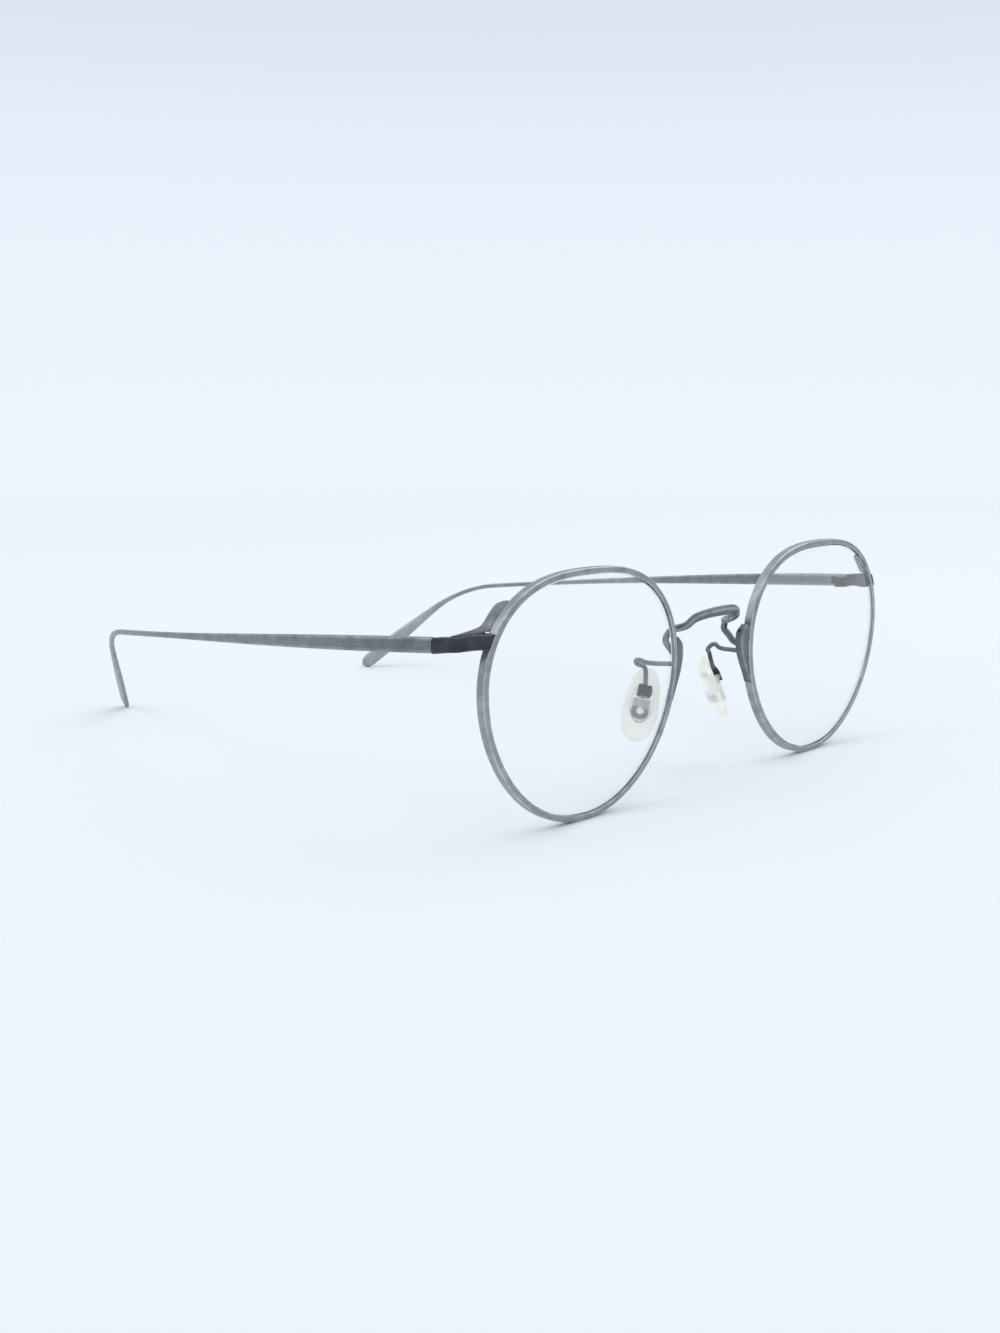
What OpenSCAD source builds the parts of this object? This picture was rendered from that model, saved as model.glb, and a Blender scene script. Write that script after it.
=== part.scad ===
// Round wire-rim eyeglasses, standing open on a table on the feet of both rims and on both temple tips.
// Millimetres. +Z is up, +Y runs from the lenses to the ears, +X points to the wearer's left.
// The origin is on the table, under the middle of the whole outline.

/* [Lenses] */
// Width of each lens
lens_w = 47; // [44:0.1:50]
// Height of each lens
lens_h = 41.6; // [38:0.1:45]
// Distance between the two lenses
lens_gap = 24.2; // [22:0.1:26]
// How much the outline is flattened at its top and drawn out at its foot
outline_drop = 0.039; // [0:0.001:0.06]
// How much the outline is drawn out between its top, sides and foot
outline_square = 0.0086; // [0:0.0002:0.02]
// Radius of the lens's curve
lens_curve_r = 179; // [120:1:300]
// Thickness of the lens
lens_t = 1.3; // [1:0.1:1.6]
// Angle by which each rim turns back towards the temple
wrap_angle = 1.2; // [0:0.1:3]
// Angle by which the tops of the rims lean forward
lean_angle = 0.9; // [0:0.1:2]

/* [Rims] */
// Thickness of the rim wire seen from the front
rim_t = 1.1; // [0.9:0.05:1.4]
// Depth of the rim wire from front to back
rim_d = 1.7; // [1.5:0.05:2.2]
// Depth of the groove that holds the lens
groove_depth = 0.35; // [0.25:0.05:0.5]
// Angle above the lens's widest line at which the rim is split
lock_angle = 25.5; // [22:0.1:28]
// Width of the slit in the rim
rim_slit = 0.1; // [0.05:0.05:0.4]

/* [Bridge and nasal plates] */
// Width of the bridge ribbon
bridge_w = 2.4; // [1.6:0.1:2.8]
// Thickness of the bridge ribbon
bridge_t = 1.1; // [1:0.05:1.5]
// Thickness of the wire that the ribbon's ends curl into
curl_d = 1.1; // [0.8:0.05:1.3]
// Greatest thickness of the plate on the nose side of each rim
plate_t = 2.3; // [1.2:0.1:2.6]
// Height of the plate's top above the lens centre
plate_top = 5.7; // [5:0.1:8]
// Height of the plate's foot below the lens centre
plate_foot = 5; // [4:0.1:7]

/* [Nose pads] */
// Diameter of the pad arm's wire
arm_d = 0.85; // [0.7:0.05:1]
// Length of each nose pad
pad_l = 14.2; // [12:0.1:15]
// Width of each nose pad
pad_w = 6.5; // [6:0.1:8]
// Thickness of each nose pad at its crown
pad_t = 2.7; // [2.4:0.1:3.2]
// Angle by which the feet of the pads spread
pad_spread = 26; // [15:1:30]
// Angle by which the tops of the pads lean back
pad_lean = 7; // [0:1:12]
// Angle by which the pads open towards the face
pad_splay = 42; // [25:1:48]
// Width of the box that holds each pad
box_w = 2.4; // [2:0.05:2.4]

/* [Endpieces and hinges] */
// Distance between the outer edges of the two temples at the hinges
hinge_span = 125; // [122:0.5:128]
// Distance from the rim back to the joint of the temple
endpiece_l = 8.3; // [7.5:0.05:10]
// Angle at which the endpiece falls towards the hinge
endpiece_fall = 5.4; // [0:0.1:6]
// Angle above the lens's widest line at which the endpiece's wing ends
wing_end = 45; // [38:0.5:50]
// Height of the endpiece and of the temple's front end
bar_h = 2.6; // [2.2:0.1:3.2]
// Thickness of the endpiece and of the temple's front end
bar_t = 1.15; // [0.9:0.05:1.3]
// Outside diameter of the hinge barrel
barrel_d = 2.1; // [1.9:0.1:2.3]
// Height of the hinge barrel
barrel_h = 2; // [1.9:0.1:2.2]
// Diameter of the hinge screw's shank
hinge_pin_d = 1; // [0.8:0.05:1.1]
// Distance of the hinge's axis behind the joint
hinge_setback = 0.8; // [0.4:0.1:1]
// Radial clearance of the turning knuckle on the screw
pin_clearance = 0.04; // [0.01:0.01:0.08]

/* [Temples] */
// Length of the temple from the joint to its end
temple_l = 145; // [140:1:150]
// Length of the straight-looking shaft before the ear bend
shaft_l = 101; // [95:1:108]
// Angle at which the shaft leaves the hinge, outwards
shaft_out = 7.1; // [4:0.1:10]
// Angle through which the shaft bows inwards over its length
shaft_bow = 20.9; // [14:0.1:24]
// Angle that the shaft's fall gains over its length
shaft_sag = 1.7; // [0:0.1:4]
// Radius of the ear bend
bend_r = 27.8; // [20:0.1:35]
// Angle through which the ear bend turns down
bend_down = 32.7; // [25:0.1:45]
// Angle through which the ear bend turns inwards
bend_in = 24.4; // [10:0.1:28]
// Height of the temple at its thinnest
thin_h = 1.05; // [0.9:0.05:1.4]
// Width of the flattened tip
tip_w = 3.5; // [2.6:0.1:4.5]
// Thickness of the flattened tip
tip_t = 1.1; // [0.9:0.05:1.5]

/* [Hidden] */

PEWTER = [0.42, 0.44, 0.47];
DARK_PEWTER = [0.27, 0.28, 0.31];
SCREW_STEEL = [0.62, 0.63, 0.65];
CLEAR = [0.86, 0.93, 0.96, 0.35];
IVORY = [0.93, 0.89, 0.80];

// Facets of the exact round parts
$fn = 48;
// Gap left between brazed parts that only touch
touch = 0.02;
// Distance from the lens plane forward to the origin's plane
front_y = -69.8;
// Lens centre's distance from the middle of the frame
eye_x = (lens_gap + lens_w) / 2;
// Steps round a rim and a lens
rim_steps = 90;
rim_outer = rim_t - groove_depth;
rim_half_d = rim_d / 2;
rim_edge = 0.28;
groove_half_w = 0.42;
slit_angle = rim_slit / lens_w * 2 / PI * 180;
// The rim's section, as distance outside the lens's outline and depth behind its middle
rim_section = [
    [-groove_depth, -groove_half_w],
    [-groove_depth, rim_edge - rim_half_d],
    [rim_edge - groove_depth, -rim_half_d],
    [rim_outer - rim_edge, -rim_half_d],
    [rim_outer - rim_edge / 4, rim_edge - rim_half_d],
    [rim_outer, 0],
    [rim_outer - rim_edge / 4, rim_half_d - rim_edge],
    [rim_outer - rim_edge, rim_half_d],
    [rim_edge - groove_depth, rim_half_d],
    [-groove_depth, rim_half_d - rim_edge],
    [-groove_depth, groove_half_w],
    [0, 0]
];
rim_angles = [for (i = [0 : rim_steps]) lock_angle + slit_angle / 2 + (360 - slit_angle) * i / rim_steps];

function unit(v) = v / norm(v);
function smooth(q) = q <= 0 ? 0 : q >= 1 ? 1 : q * q * (3 - 2 * q);
function mix(a, b, q) = a + (b - a) * q;

// Radius of the lens outline at an angle counted from the temple side upwards
function outline_r(a) =
    let (mean_r = (lens_w + lens_h) / 4)
    let (stretch = (lens_w - lens_h) / (lens_w + lens_h))
    mean_r * (1 + stretch * cos(2 * a) + outline_drop * sin(3 * a) + outline_square * (1 - cos(4 * a)));

// A point on the left lens's curved surface, measured from the lens centre
function lens_local(a, r, depth) =
    let (u = r * cos(a), v = r * sin(a))
    let (w = (u * u + v * v) / (2 * lens_curve_r) + depth)
    let (x = u * cos(wrap_angle) - w * sin(wrap_angle))
    let (y = u * sin(wrap_angle) + w * cos(wrap_angle))
    [x, y * cos(lean_angle) - v * sin(lean_angle), y * sin(lean_angle) + v * cos(lean_angle)];

// The rims stand on the table, which sets the height of the lens centres
eye_z = -min([for (a = rim_angles, s = rim_section) lens_local(a, outline_r(a) + s[0], s[1])[2]]);

// A point given as distance to the left, distance behind the lens plane, and height over the lens centres
function place(p) = [p[0], p[1] + front_y, p[2] + eye_z];
function on_lens(a, r, depth) = place(lens_local(a, r, depth) + [eye_x, 0, 0]);
function on_rim(a, off, depth) = on_lens(a, outline_r(a) + off, depth);

// A smooth curve through the given points, with the given number of steps between two of them
function curve_at(p, i, q) =
    let (n = len(p) - 1)
    let (a = p[max(i - 1, 0)], b = p[i], c = p[min(i + 1, n)], d = p[min(i + 2, n)])
    0.5 * (2 * b + (c - a) * q + (2 * a - 5 * b + 4 * c - d) * q * q + (3 * b - a - 3 * c + d) * q * q * q);
function curve(p, steps) = concat(
    [for (i = [0 : len(p) - 2], k = [0 : steps - 1]) curve_at(p, i, k / steps)],
    [p[len(p) - 1]]
);

// One ring of a bar: n is the direction of its width, b of its thickness, and corner under 1 squares it
function power(c, e) = sign(c) * pow(abs(c), e);
function bar_ring(p, n, b, w, t, sides, corner) = [
    for (i = [0 : sides - 1])
        let (a = 360 * (i + 0.5) / sides)
        p + n * (w / 2 * power(cos(a), corner)) + b * (t / 2 * power(sin(a), corner))
];

// Direction of a path at point i
function heading(path, i) = unit(path[min(i + 1, len(path) - 1)] - path[max(i - 1, 0)]);

// Rings of a bar along a path; sizes holds [width, thickness] and across the width's direction at each point
function bar_rings(path, sizes, across, sides, corner) = [
    for (i = [0 : len(path) - 1])
        let (t = heading(path, i))
        let (n = unit(across[i] - (across[i] * t) * t))
        bar_ring(path[i], n, cross(t, n), sizes[i][0], sizes[i][1], sides, corner)
];

// Solid skin over rings of points. An end that isn't flat is closed by strips across the ring
module skin(rings, flat_ends = true) {
    n = len(rings[0]);
    m = len(rings);
    sides = [
        for (i = [0 : m - 2], j = [0 : n - 1])
            let (l = (j + 1) % n)
            each [
                [i * n + j, (i + 1) * n + l, i * n + l],
                [i * n + j, (i + 1) * n + j, (i + 1) * n + l]
            ]
    ];
    last = (m - 1) * n;
    caps = [
        [for (j = [0 : n - 1]) j],
        [for (j = [n - 1 : -1 : 0]) last + j]
    ];
    strips = [
        for (j = [0 : n / 2 - 2])
            let (k = n - 1 - j)
            each [
                [j, j + 1, k - 1],
                [j, k - 1, k],
                [last + k - 1, last + j + 1, last + j],
                [last + k, last + k - 1, last + j]
            ]
    ];
    polyhedron(points = [for (r = rings) each r], faces = concat(sides, flat_ends ? caps : strips));
}

module on_right() {
    mirror([1, 0, 0]) children();
}

// The rims, each a grooved wire that is split at the lock
module rim() {
    color(PEWTER)
    skin([for (a = rim_angles) [for (s = rim_section) on_rim(a, s[0], s[1])]]);
}

// The lenses, each a curved disc with a bevelled edge that sits in the groove
lens_play = 0.05;
bevel_half_w = groove_half_w - lens_play;
lens_shelf = groove_depth + lens_play;
lens_half_t = lens_t / 2;
lens_rings = [
    for (k = [0.02, 0.35, 0.7]) [k, 0, -lens_half_t],
    [1, -lens_shelf - 0.1, -lens_half_t],
    [1, -lens_shelf, 0.1 - lens_half_t],
    [1, -lens_shelf, -bevel_half_w],
    [1, -lens_play, 0],
    [1, -lens_shelf, bevel_half_w],
    [1, -lens_shelf, lens_half_t - 0.1],
    [1, -lens_shelf - 0.1, lens_half_t],
    for (k = [0.7, 0.35, 0.02]) [k, 0, lens_half_t]
];

module lens() {
    color(CLEAR)
    skin([
        for (s = lens_rings)
            [for (i = [0 : rim_steps - 1])
                let (a = -360 * i / rim_steps)
                on_lens(a, outline_r(a) * s[0] + s[1], s[2])]
    ]);
}

// The bridge: an arched ribbon whose ends curl back and come forward again into the nasal plates
bridge_half = [
    [0, -0.73, 10.07],
    [3.42, -0.48, 9.88],
    [6.04, 0.51, 9.16],
    [7.35, 1.45, 7.9],
    [8.07, 3.08, 7.28],
    [8.71, 4.25, 7.1],
    [9.45, 4.84, 6.2],
    [9.65, 5.06, 5.11],
    [9.89, 4.26, 4.14],
    [9.86, 2.95, 2.94],
    [10.08, 1.62, 2.57]
];
bridge_steps = 4;
bridge_left = [for (p = curve(bridge_half, bridge_steps)) place(p)];
bridge_last = len(bridge_left) - 1;
// Direction of the ribbon's width: tipped forward in the middle, and carried along the path without twisting
ribbon_tip = 42;
ribbon_across = [
    for (
        i = 0, v = [0, -sin(ribbon_tip), cos(ribbon_tip)];
        i <= bridge_last;
        i = i + 1,
        v = let (t = heading(bridge_left, min(i, bridge_last))) unit(v - (v * t) * t)
    ) v
];
// Shares of the half bridge between which the ribbon narrows to the curl's wire
ribbon_ends = 0.42;
curl_starts = 0.56;
function curled(q) = smooth((q - ribbon_ends) / (curl_starts - ribbon_ends));
function on_side(p, i) = [(i < 0 ? -1 : 1) * p[0], p[1], p[2]];

module bridge() {
    stations = [for (i = [-bridge_last : bridge_last]) i];
    color(DARK_PEWTER)
    skin(bar_rings(
        [for (i = stations) on_side(bridge_left[abs(i)], i)],
        [for (i = stations)
            let (q = curled(abs(i) / bridge_last))
            [mix(bridge_w, curl_d, q), mix(bridge_t, curl_d, q)]],
        [for (i = stations) on_side(ribbon_across[abs(i)], i)],
        12,
        0.8
    ));
}

// The nasal plates, brazed on the nose side of the rims
plate_half_d = 0.8;
plate_steps = 18;
plate_tip_t = 0.16;
function plate_angle(z) = 180 - asin(z / (lens_w / 2));
function plate_thickness(q) =
    plate_tip_t + plate_t * smooth((q + 0.12) / 0.3) * (1 - smooth((q - 0.25) / 0.8));

module nasal_plate() {
    back = rim_outer + touch;
    color(DARK_PEWTER)
    skin([
        for (i = [0 : plate_steps])
            let (q = i / plate_steps)
            let (a = plate_angle(mix(plate_top, -plate_foot, q)))
            let (t = plate_thickness(q))
            [for (s = [
                [back, -plate_half_d],
                [back + 0.6 * t, -plate_half_d],
                [back + 0.9 * t, -0.75 * plate_half_d],
                [back + t, 0],
                [back + 0.9 * t, 0.75 * plate_half_d],
                [back + 0.6 * t, plate_half_d],
                [back, plate_half_d]
            ]) on_rim(a, s[0], s[1])]
    ]);
}

// The nose pads. Their own frame has X away from the nose, Y along the width and Z along the length
pad_centre = [11.85, 8.5, -6.75];
function pad_turned(p) =
    let (x = p[0] * cos(pad_splay) + p[1] * sin(pad_splay))
    let (y = p[1] * cos(pad_splay) - p[0] * sin(pad_splay))
    let (z = x * sin(pad_spread) + p[2] * cos(pad_spread))
    [
        x * cos(pad_spread) - p[2] * sin(pad_spread),
        y * cos(pad_lean) + z * sin(pad_lean),
        z * cos(pad_lean) - y * sin(pad_lean)
    ];
function on_pad(p) = place(pad_centre + pad_turned(p));

module in_pad_frame() {
    translate(place(pad_centre))
        rotate([-pad_lean, 0, 0])
            rotate([0, -pad_spread, 0])
                rotate([0, 0, -pad_splay])
                    children();
}

pad_back_x = 0.4;
pad_crown_x = pad_back_x - pad_t;
pad_egg = 0.12;
// Under 1 fills the pad's outline out towards its corners
pad_full = 0.9;
pad_sides = 40;
// Share of the outline's size and of the thickness at each ring, from the crown to the back
pad_layers = [[0.02, 0], [0.35, 0.05], [0.6, 0.16], [0.8, 0.33], [0.93, 0.53], [1, 0.8], [0.98, 0.94], [0.9, 1]];
// The boss on the pad's back, which is an oval round the pocket
boss_w = 4.2;
boss_l = 7.6;
boss_z = 0.2;
boss_x = 1.1;
boss_edge = 0.2;
boss_layers = [[0, pad_back_x], [0, boss_x - boss_edge], [boss_edge, boss_x], [boss_w / 2 - touch, boss_x]];
// Place of the pad's screw, and the sizes of the pocket and of the metal core round it
pin_x = 0.95;
pin_z = 2.2;
pocket_x = -0.3;
pocket_w = 3.1;
pocket_h = 3;
core_t = 0.45;
core_w = 2.9;
core_l = 6.2;
core_z = 0.3;
// The core's foot, a block under the pocket, and the hole near the core's lower end that the plastic fills
foot_w = 1.9;
foot_x = 0.3;
foot_low_z = -0.6;
foot_high_z = 0.75;
hole_d = 1.3;
hole_z = -1.3;
lug_w = 1.1;
lug_r = 0.62;
pad_screw_d = 0.8;
pad_screw_play = 0.03;
box_h = 2.1;
box_back_x = 1.8;
box_front_x = 0.25;
slot_w = 1.22;
screw_head_t = 0.25;

module pad_body() {
    turns = [for (i = [0 : pad_sides - 1]) -360 * i / pad_sides];
    skin(concat(
        [for (s = pad_layers)
            [for (a = turns)
                [
                    mix(pad_crown_x, pad_back_x, s[1]),
                    s[0] * pad_w / 2 * power(cos(a), pad_full) * (1 - pad_egg * sin(a)),
                    s[0] * pad_l / 2 * power(sin(a), pad_full)
                ]]],
        [for (s = boss_layers)
            [for (a = turns)
                [s[1], (boss_w / 2 - s[0]) * cos(a), boss_z + (boss_l / 2 - s[0]) * sin(a)]]]
    ));
}

// A flat oval: two round ends joined by a strip, standing on the plane X = 0
module oval(w, l, t) {
    straight = (l - w) / 2;
    rotate([0, 90, 0])
        linear_extrude(t) {
            translate([-straight, 0]) circle(d = w);
            translate([straight, 0]) circle(d = w);
            square([2 * straight, w], center = true);
        }
}

// The flat part of the core with its foot; grow widens it for the space it takes in the plastic
module core_plate(grow) {
    difference() {
        translate([pocket_x - core_t - grow, 0, core_z]) oval(core_w + 2 * grow, core_l + 2 * grow, core_t + 2 * grow);
        translate([pocket_x - 2 * core_t, 0, hole_z]) rotate([0, 90, 0]) cylinder(d = hole_d - 2 * grow, h = 3 * core_t);
    }
    translate([pocket_x - core_t / 2, -foot_w / 2 - grow, foot_low_z - grow])
        cube([foot_x - pocket_x + core_t / 2 + grow, foot_w + 2 * grow, foot_high_z - foot_low_z + 2 * grow]);
}

module nose_pad() {
    cut = 3;
    color(IVORY)
    in_pad_frame()
    difference() {
        pad_body();
        translate([pocket_x - touch, -pocket_w / 2, pin_z - pocket_h / 2]) cube([cut, pocket_w, pocket_h]);
        translate([box_front_x, -pocket_w / 2, pin_z]) cube([cut, pocket_w, cut]);
        core_plate(touch);
    }
}

module pad_core() {
    color(SCREW_STEEL)
    in_pad_frame()
    difference() {
        union() {
            core_plate(0);
            translate([pocket_x - core_t / 2, -lug_w / 2, pin_z - lug_r])
                cube([pin_x - pocket_x + core_t / 2, lug_w, 2 * lug_r]);
            translate([pin_x, lug_w / 2, pin_z]) rotate([90, 0, 0]) cylinder(r = lug_r, h = lug_w);
        }
        translate([pin_x, lug_w, pin_z])
            rotate([90, 0, 0])
                cylinder(d = pad_screw_d + 2 * pad_screw_play, h = 2 * lug_w);
    }
}

module pad_box() {
    wall = 0.15;
    color(DARK_PEWTER)
    in_pad_frame()
    difference() {
        translate([box_front_x, -box_w / 2, pin_z - box_h / 2])
            cube([box_back_x - box_front_x, box_w, box_h]);
        translate([box_front_x - 1, -slot_w / 2, pin_z - box_h / 2 - 1])
            cube([box_back_x - box_front_x + 1 - wall, slot_w, box_h + 1 - wall]);
        translate([pin_x, box_w, pin_z])
            rotate([90, 0, 0])
                cylinder(d = pad_screw_d, h = 2 * box_w);
    }
}

module pad_screw() {
    head_d = 1.3;
    slot_t = 0.2;
    color(SCREW_STEEL)
    in_pad_frame()
    translate([pin_x, 0, pin_z])
    rotate([90, 0, 0])
    difference() {
        union() {
            translate([0, 0, -box_w / 2]) cylinder(d = pad_screw_d, h = box_w);
            translate([0, 0, box_w / 2]) cylinder(d = head_d, h = screw_head_t);
        }
        translate([-head_d, -slot_t / 2, box_w / 2 + screw_head_t / 2]) cube([2 * head_d, slot_t, 1]);
    }
}

// The pad arms: wires that go back from the nasal plates, over a crest and down to the pad boxes
arm_path = concat(
    [for (p = [
        [10.1, 1.5, 1.15],
        [10.45, 3.6, 1.1],
        [11.05, 5.9, 0.95],
        [11.7, 7.6, 1],
        [12.25, 8.8, 1.4],
        [12.2, 9.65, 1.15],
        [11.4, 9.95, 0.4]
    ]) place(p)],
    [for (p = [[1.5, 0.9, 6.5], [1.2, 0.35, 5], [1.05, 0.05, 3.15]]) on_pad(p)]
);
arm_steps = 4;

module pad_arm() {
    path = curve(arm_path, arm_steps);
    color(DARK_PEWTER)
    skin(bar_rings(path, [for (p = path) [arm_d, arm_d]], [for (p = path) [1, 0, 0]], 8, 1));
}

// The endpieces. Distances run back from the rim's middle surface at the lock
lock_point = on_rim(lock_angle, 0, 0);
joint_y = lock_point[1] + endpiece_l;
hinge_z = lock_point[2] - endpiece_l * tan(endpiece_fall);
temple_x = hinge_span / 2 - bar_t / 2;
joint_gap = 0.1;
bar_front = -rim_half_d;
bar_end = endpiece_l - joint_gap / 2;
// Thickness of the bar where it lies on the rim, and the distance over which it swings outwards
bar_nose_t = 0.35;
bar_swing = 5.6;
bar_root_t = 2.3;
bar_root_l = 3.5;
bar_taper = 0.9;
// Distance behind the rim within which the bar has turned upright
upright_l = 2.2;
bar_edge = 0.18;
bar_angle = bar_h * bar_taper / 2 / (outline_r(lock_angle) * cos(lock_angle)) * 180 / PI;
face_off = rim_outer + touch;
// Distances of the bar's faces outside the lens's outline
function bar_outer(d) =
    let (q = 1 - min(1, (d - bar_front) / bar_swing))
    mix(face_off + bar_nose_t, temple_x + bar_t / 2 - lock_point[0], 1 - q * q);
function bar_inner(d) =
    max(face_off, bar_outer(d) - mix(bar_root_t, bar_t, smooth((d - rim_half_d) / bar_root_l)));

// How far the bar has fallen at a distance behind the rim
function bar_fall(d) = endpiece_l * tan(endpiece_fall) * pow(max(0, d) / endpiece_l, 2);

// A point of the bar: it follows the rim at the front and stands upright at the hinge
function bar_point(a, d, off) =
    let (p = on_rim(a, min(off, face_off), d) + [max(0, off - face_off), 0, 0])
    let (q = smooth((d - rim_half_d) / upright_l))
    let (rise = (on_rim(a, 0, 0)[2] - lock_point[2]) * mix(1, 1 / bar_taper, (d - bar_front) / endpiece_l))
    [
        mix(p[0], lock_point[0] + off, q),
        mix(p[1], lock_point[1] + d, q),
        mix(p[2], lock_point[2] + rise, q) - bar_fall(d)
    ];
bar_points = 12;
function bar_section(a, inset) = concat(
    [for (i = [0 : bar_points - 1])
        let (d = mix(bar_front, bar_end, i / (bar_points - 1)))
        bar_point(a, d, bar_outer(d) - inset)],
    [for (i = [bar_points - 1 : -1 : 0])
        let (d = mix(bar_front, bar_end, i / (bar_points - 1)))
        bar_point(a, d, bar_inner(d))]
);

// The wing rises from the bar and runs up close behind the rim to a round end
wing_lift = 0.9;
wing_start = lock_angle + bar_angle + wing_lift;
wing_steps = 14;
// The sections lie closer together near the root, by this power of their number
wing_spacing = 1.6;
wing_round = 0.88;
wing_blunt = 0.02;
wing_gap = 0.12;
wing_front = rim_half_d + wing_gap;
wing_root_back = 4.4;
wing_back = 2.6;
// Place of the wing's middle off the bar's inner face at its root and off the lens's outline above, and its
// half thickness
wing_root_off = 0.5;
wing_off = 0.25;
wing_half_t = 0.44;
// How far the wing's back edge flares outwards, and by how many degrees its end slopes per millimetre of depth
wing_flare = 0.5;
wing_slope = 2.4;
// How quickly a section turns from the bar's line to the rim's line, and narrows to the wing's width
wing_turn_rate = 20;
wing_back_rate = 22;
function wing_span(q) =
    q <= wing_round ? 1 : sqrt(max(wing_blunt, 1 - pow((q - wing_round) / (1 - wing_round), 2)));
function wing_point(q, d, way) =
    let (a = mix(wing_start, wing_end, q) - wing_slope * (d - wing_front) * q)
    let (turned = 1 - exp(-wing_turn_rate * q))
    let (flare = wing_flare * pow((d - wing_front) / (wing_back - wing_front), 2) * turned)
    mix(
        bar_point(a, d, bar_inner(d) + wing_root_off + way * wing_half_t),
        on_rim(a, wing_off + way * wing_half_t + flare, d),
        turned
    );
function wing_section(q) =
    let (back = mix(wing_root_back, wing_back, 1 - exp(-wing_back_rate * q)))
    let (middle = (wing_front + back) / 2, half = (back - wing_front) / 2 * wing_span(q))
    concat(
        [for (i = [0 : bar_points - 1]) wing_point(q, middle + half * (2 * i / (bar_points - 1) - 1), 1)],
        [for (i = [bar_points - 1 : -1 : 0]) wing_point(q, middle + half * (2 * i / (bar_points - 1) - 1), -1)]
    );

module endpiece() {
    color(DARK_PEWTER)
    skin(concat(
        [for (k = [[-1, 1], [-0.85, 0], [0, 0], [0.85, 0], [1, 1]])
            bar_section(lock_angle + k[0] * bar_angle, k[1] * bar_edge)],
        [for (i = [0 : wing_steps])
            wing_section(pow(i / wing_steps, wing_spacing))]
    ), flat_ends = false);
}

// The rim locks: two blocks behind each rim's slit, drawn together by a screw
lock_w = 1.7;
lock_d = 1.7;
lock_block_h = 1.1;
lock_half_gap = 0.07;
// The blocks stand off the rim's back by a hair, and their outer faces lie outside the lens's outline
lock_standoff = 0.04;
lock_outside = 0.5;
lock_y = lock_point[1] + rim_half_d + lock_standoff;
lock_x = lock_point[0] + lock_outside - lock_w;
lock_screw_d = 0.9;
lock_head_d = 1.3;
lock_head_h = 0.4;
lock_play = 0.05;

module at_lock_screw() {
    translate([lock_x + lock_w / 2, lock_y + lock_d / 2, lock_point[2]]) children();
}

module rim_lock_upper() {
    color(DARK_PEWTER)
    difference() {
        translate([lock_x, lock_y, lock_point[2] + lock_half_gap]) cube([lock_w, lock_d, lock_block_h]);
        at_lock_screw() cylinder(d = lock_screw_d + 2 * lock_play, h = 3);
    }
}

module rim_lock_lower() {
    floor_z = -lock_half_gap - lock_block_h;
    color(DARK_PEWTER)
    difference() {
        translate([lock_x, lock_y, lock_point[2] + floor_z]) cube([lock_w, lock_d, lock_block_h]);
        at_lock_screw() translate([0, 0, floor_z - 1]) cylinder(d = lock_screw_d + 2 * lock_play, h = 3);
        at_lock_screw() translate([0, 0, floor_z - 1]) cylinder(d = lock_head_d + 2 * lock_play, h = 1 + lock_head_h);
    }
}

module rim_lock_screw() {
    floor_z = -lock_half_gap - lock_block_h;
    slot_t = 0.22;
    slot_depth = 0.18;
    color(SCREW_STEEL)
    at_lock_screw()
    difference() {
        union() {
            translate([0, 0, floor_z]) cylinder(d = lock_head_d, h = lock_head_h - lock_play);
            translate([0, 0, floor_z]) cylinder(d = lock_screw_d, h = 2 * lock_block_h);
        }
        translate([-lock_head_d, -slot_t / 2, floor_z - 1]) cube([2 * lock_head_d, slot_t, 1 + slot_depth]);
    }
}

// The hinges: three knuckles inside the temples' line, on a screw that threads into the lowest
barrel_r = barrel_d / 2;
barrel_gap = 0.12;
inner_face = temple_x - bar_t / 2;
hinge_x = inner_face - barrel_r - barrel_gap;
// The barrel sits this much below the bar's middle, so that the screw's head hardly rises above the bar
hinge_drop = 0.3;
knuckle_gap = 0.05;
front_bore_play = 0.02;
knuckle_h = (barrel_h - 2 * knuckle_gap) / 3;
leaf_t = 0.55;
front_leaf_reach = 3.9;
temple_leaf_reach = 2.3;
leaf_h = 1.6;
leaf_rise = 0.2;
leaf_x = inner_face - leaf_t - touch;
leaf_start = barrel_r + 0.1;
tie_overlap = 0.3;

module at_hinge() {
    translate([hinge_x, joint_y + hinge_setback, hinge_z - hinge_drop]) children();
}

// One knuckle with the tie that joins it to its leaf; way is -1 towards the rim and 1 towards the ear
module knuckle(way, z, h, bore_d) {
    tie = leaf_start + tie_overlap;
    translate([0, 0, z])
    difference() {
        union() {
            cylinder(d = barrel_d, h = h);
            translate([0, way < 0 ? -tie : 0, 0]) cube([barrel_r, tie, h]);
        }
        translate([0, 0, -1]) cylinder(d = bore_d, h = h + 2);
    }
}

module leaf_plate(way) {
    reach = way < 0 ? front_leaf_reach : temple_leaf_reach;
    translate([leaf_x - hinge_x, way < 0 ? -reach : leaf_start, leaf_rise - leaf_h / 2])
        cube([leaf_t, reach - leaf_start, leaf_h]);
}

module front_hinge_leaf() {
    color(DARK_PEWTER)
    at_hinge() {
        leaf_plate(-1);
        knuckle(-1, -barrel_h / 2, knuckle_h, hinge_pin_d + 2 * front_bore_play);
        knuckle(-1, barrel_h / 2 - knuckle_h, knuckle_h, hinge_pin_d + 2 * front_bore_play);
    }
}

module temple_hinge_leaf() {
    color(DARK_PEWTER)
    at_hinge() {
        leaf_plate(1);
        knuckle(1, -knuckle_h / 2, knuckle_h, hinge_pin_d + 2 * pin_clearance);
    }
}

module hinge_screw() {
    head_d = 1.5;
    head_h = 0.2;
    slot_t = 0.25;
    color(SCREW_STEEL)
    at_hinge()
    difference() {
        union() {
            translate([0, 0, -barrel_h / 2]) cylinder(d = hinge_pin_d, h = barrel_h);
            translate([0, 0, barrel_h / 2]) cylinder(d = head_d, h = head_h);
        }
        translate([-head_d, -slot_t / 2, barrel_h / 2 + head_h / 2]) cube([2 * head_d, slot_t, 1]);
    }
}

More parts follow.
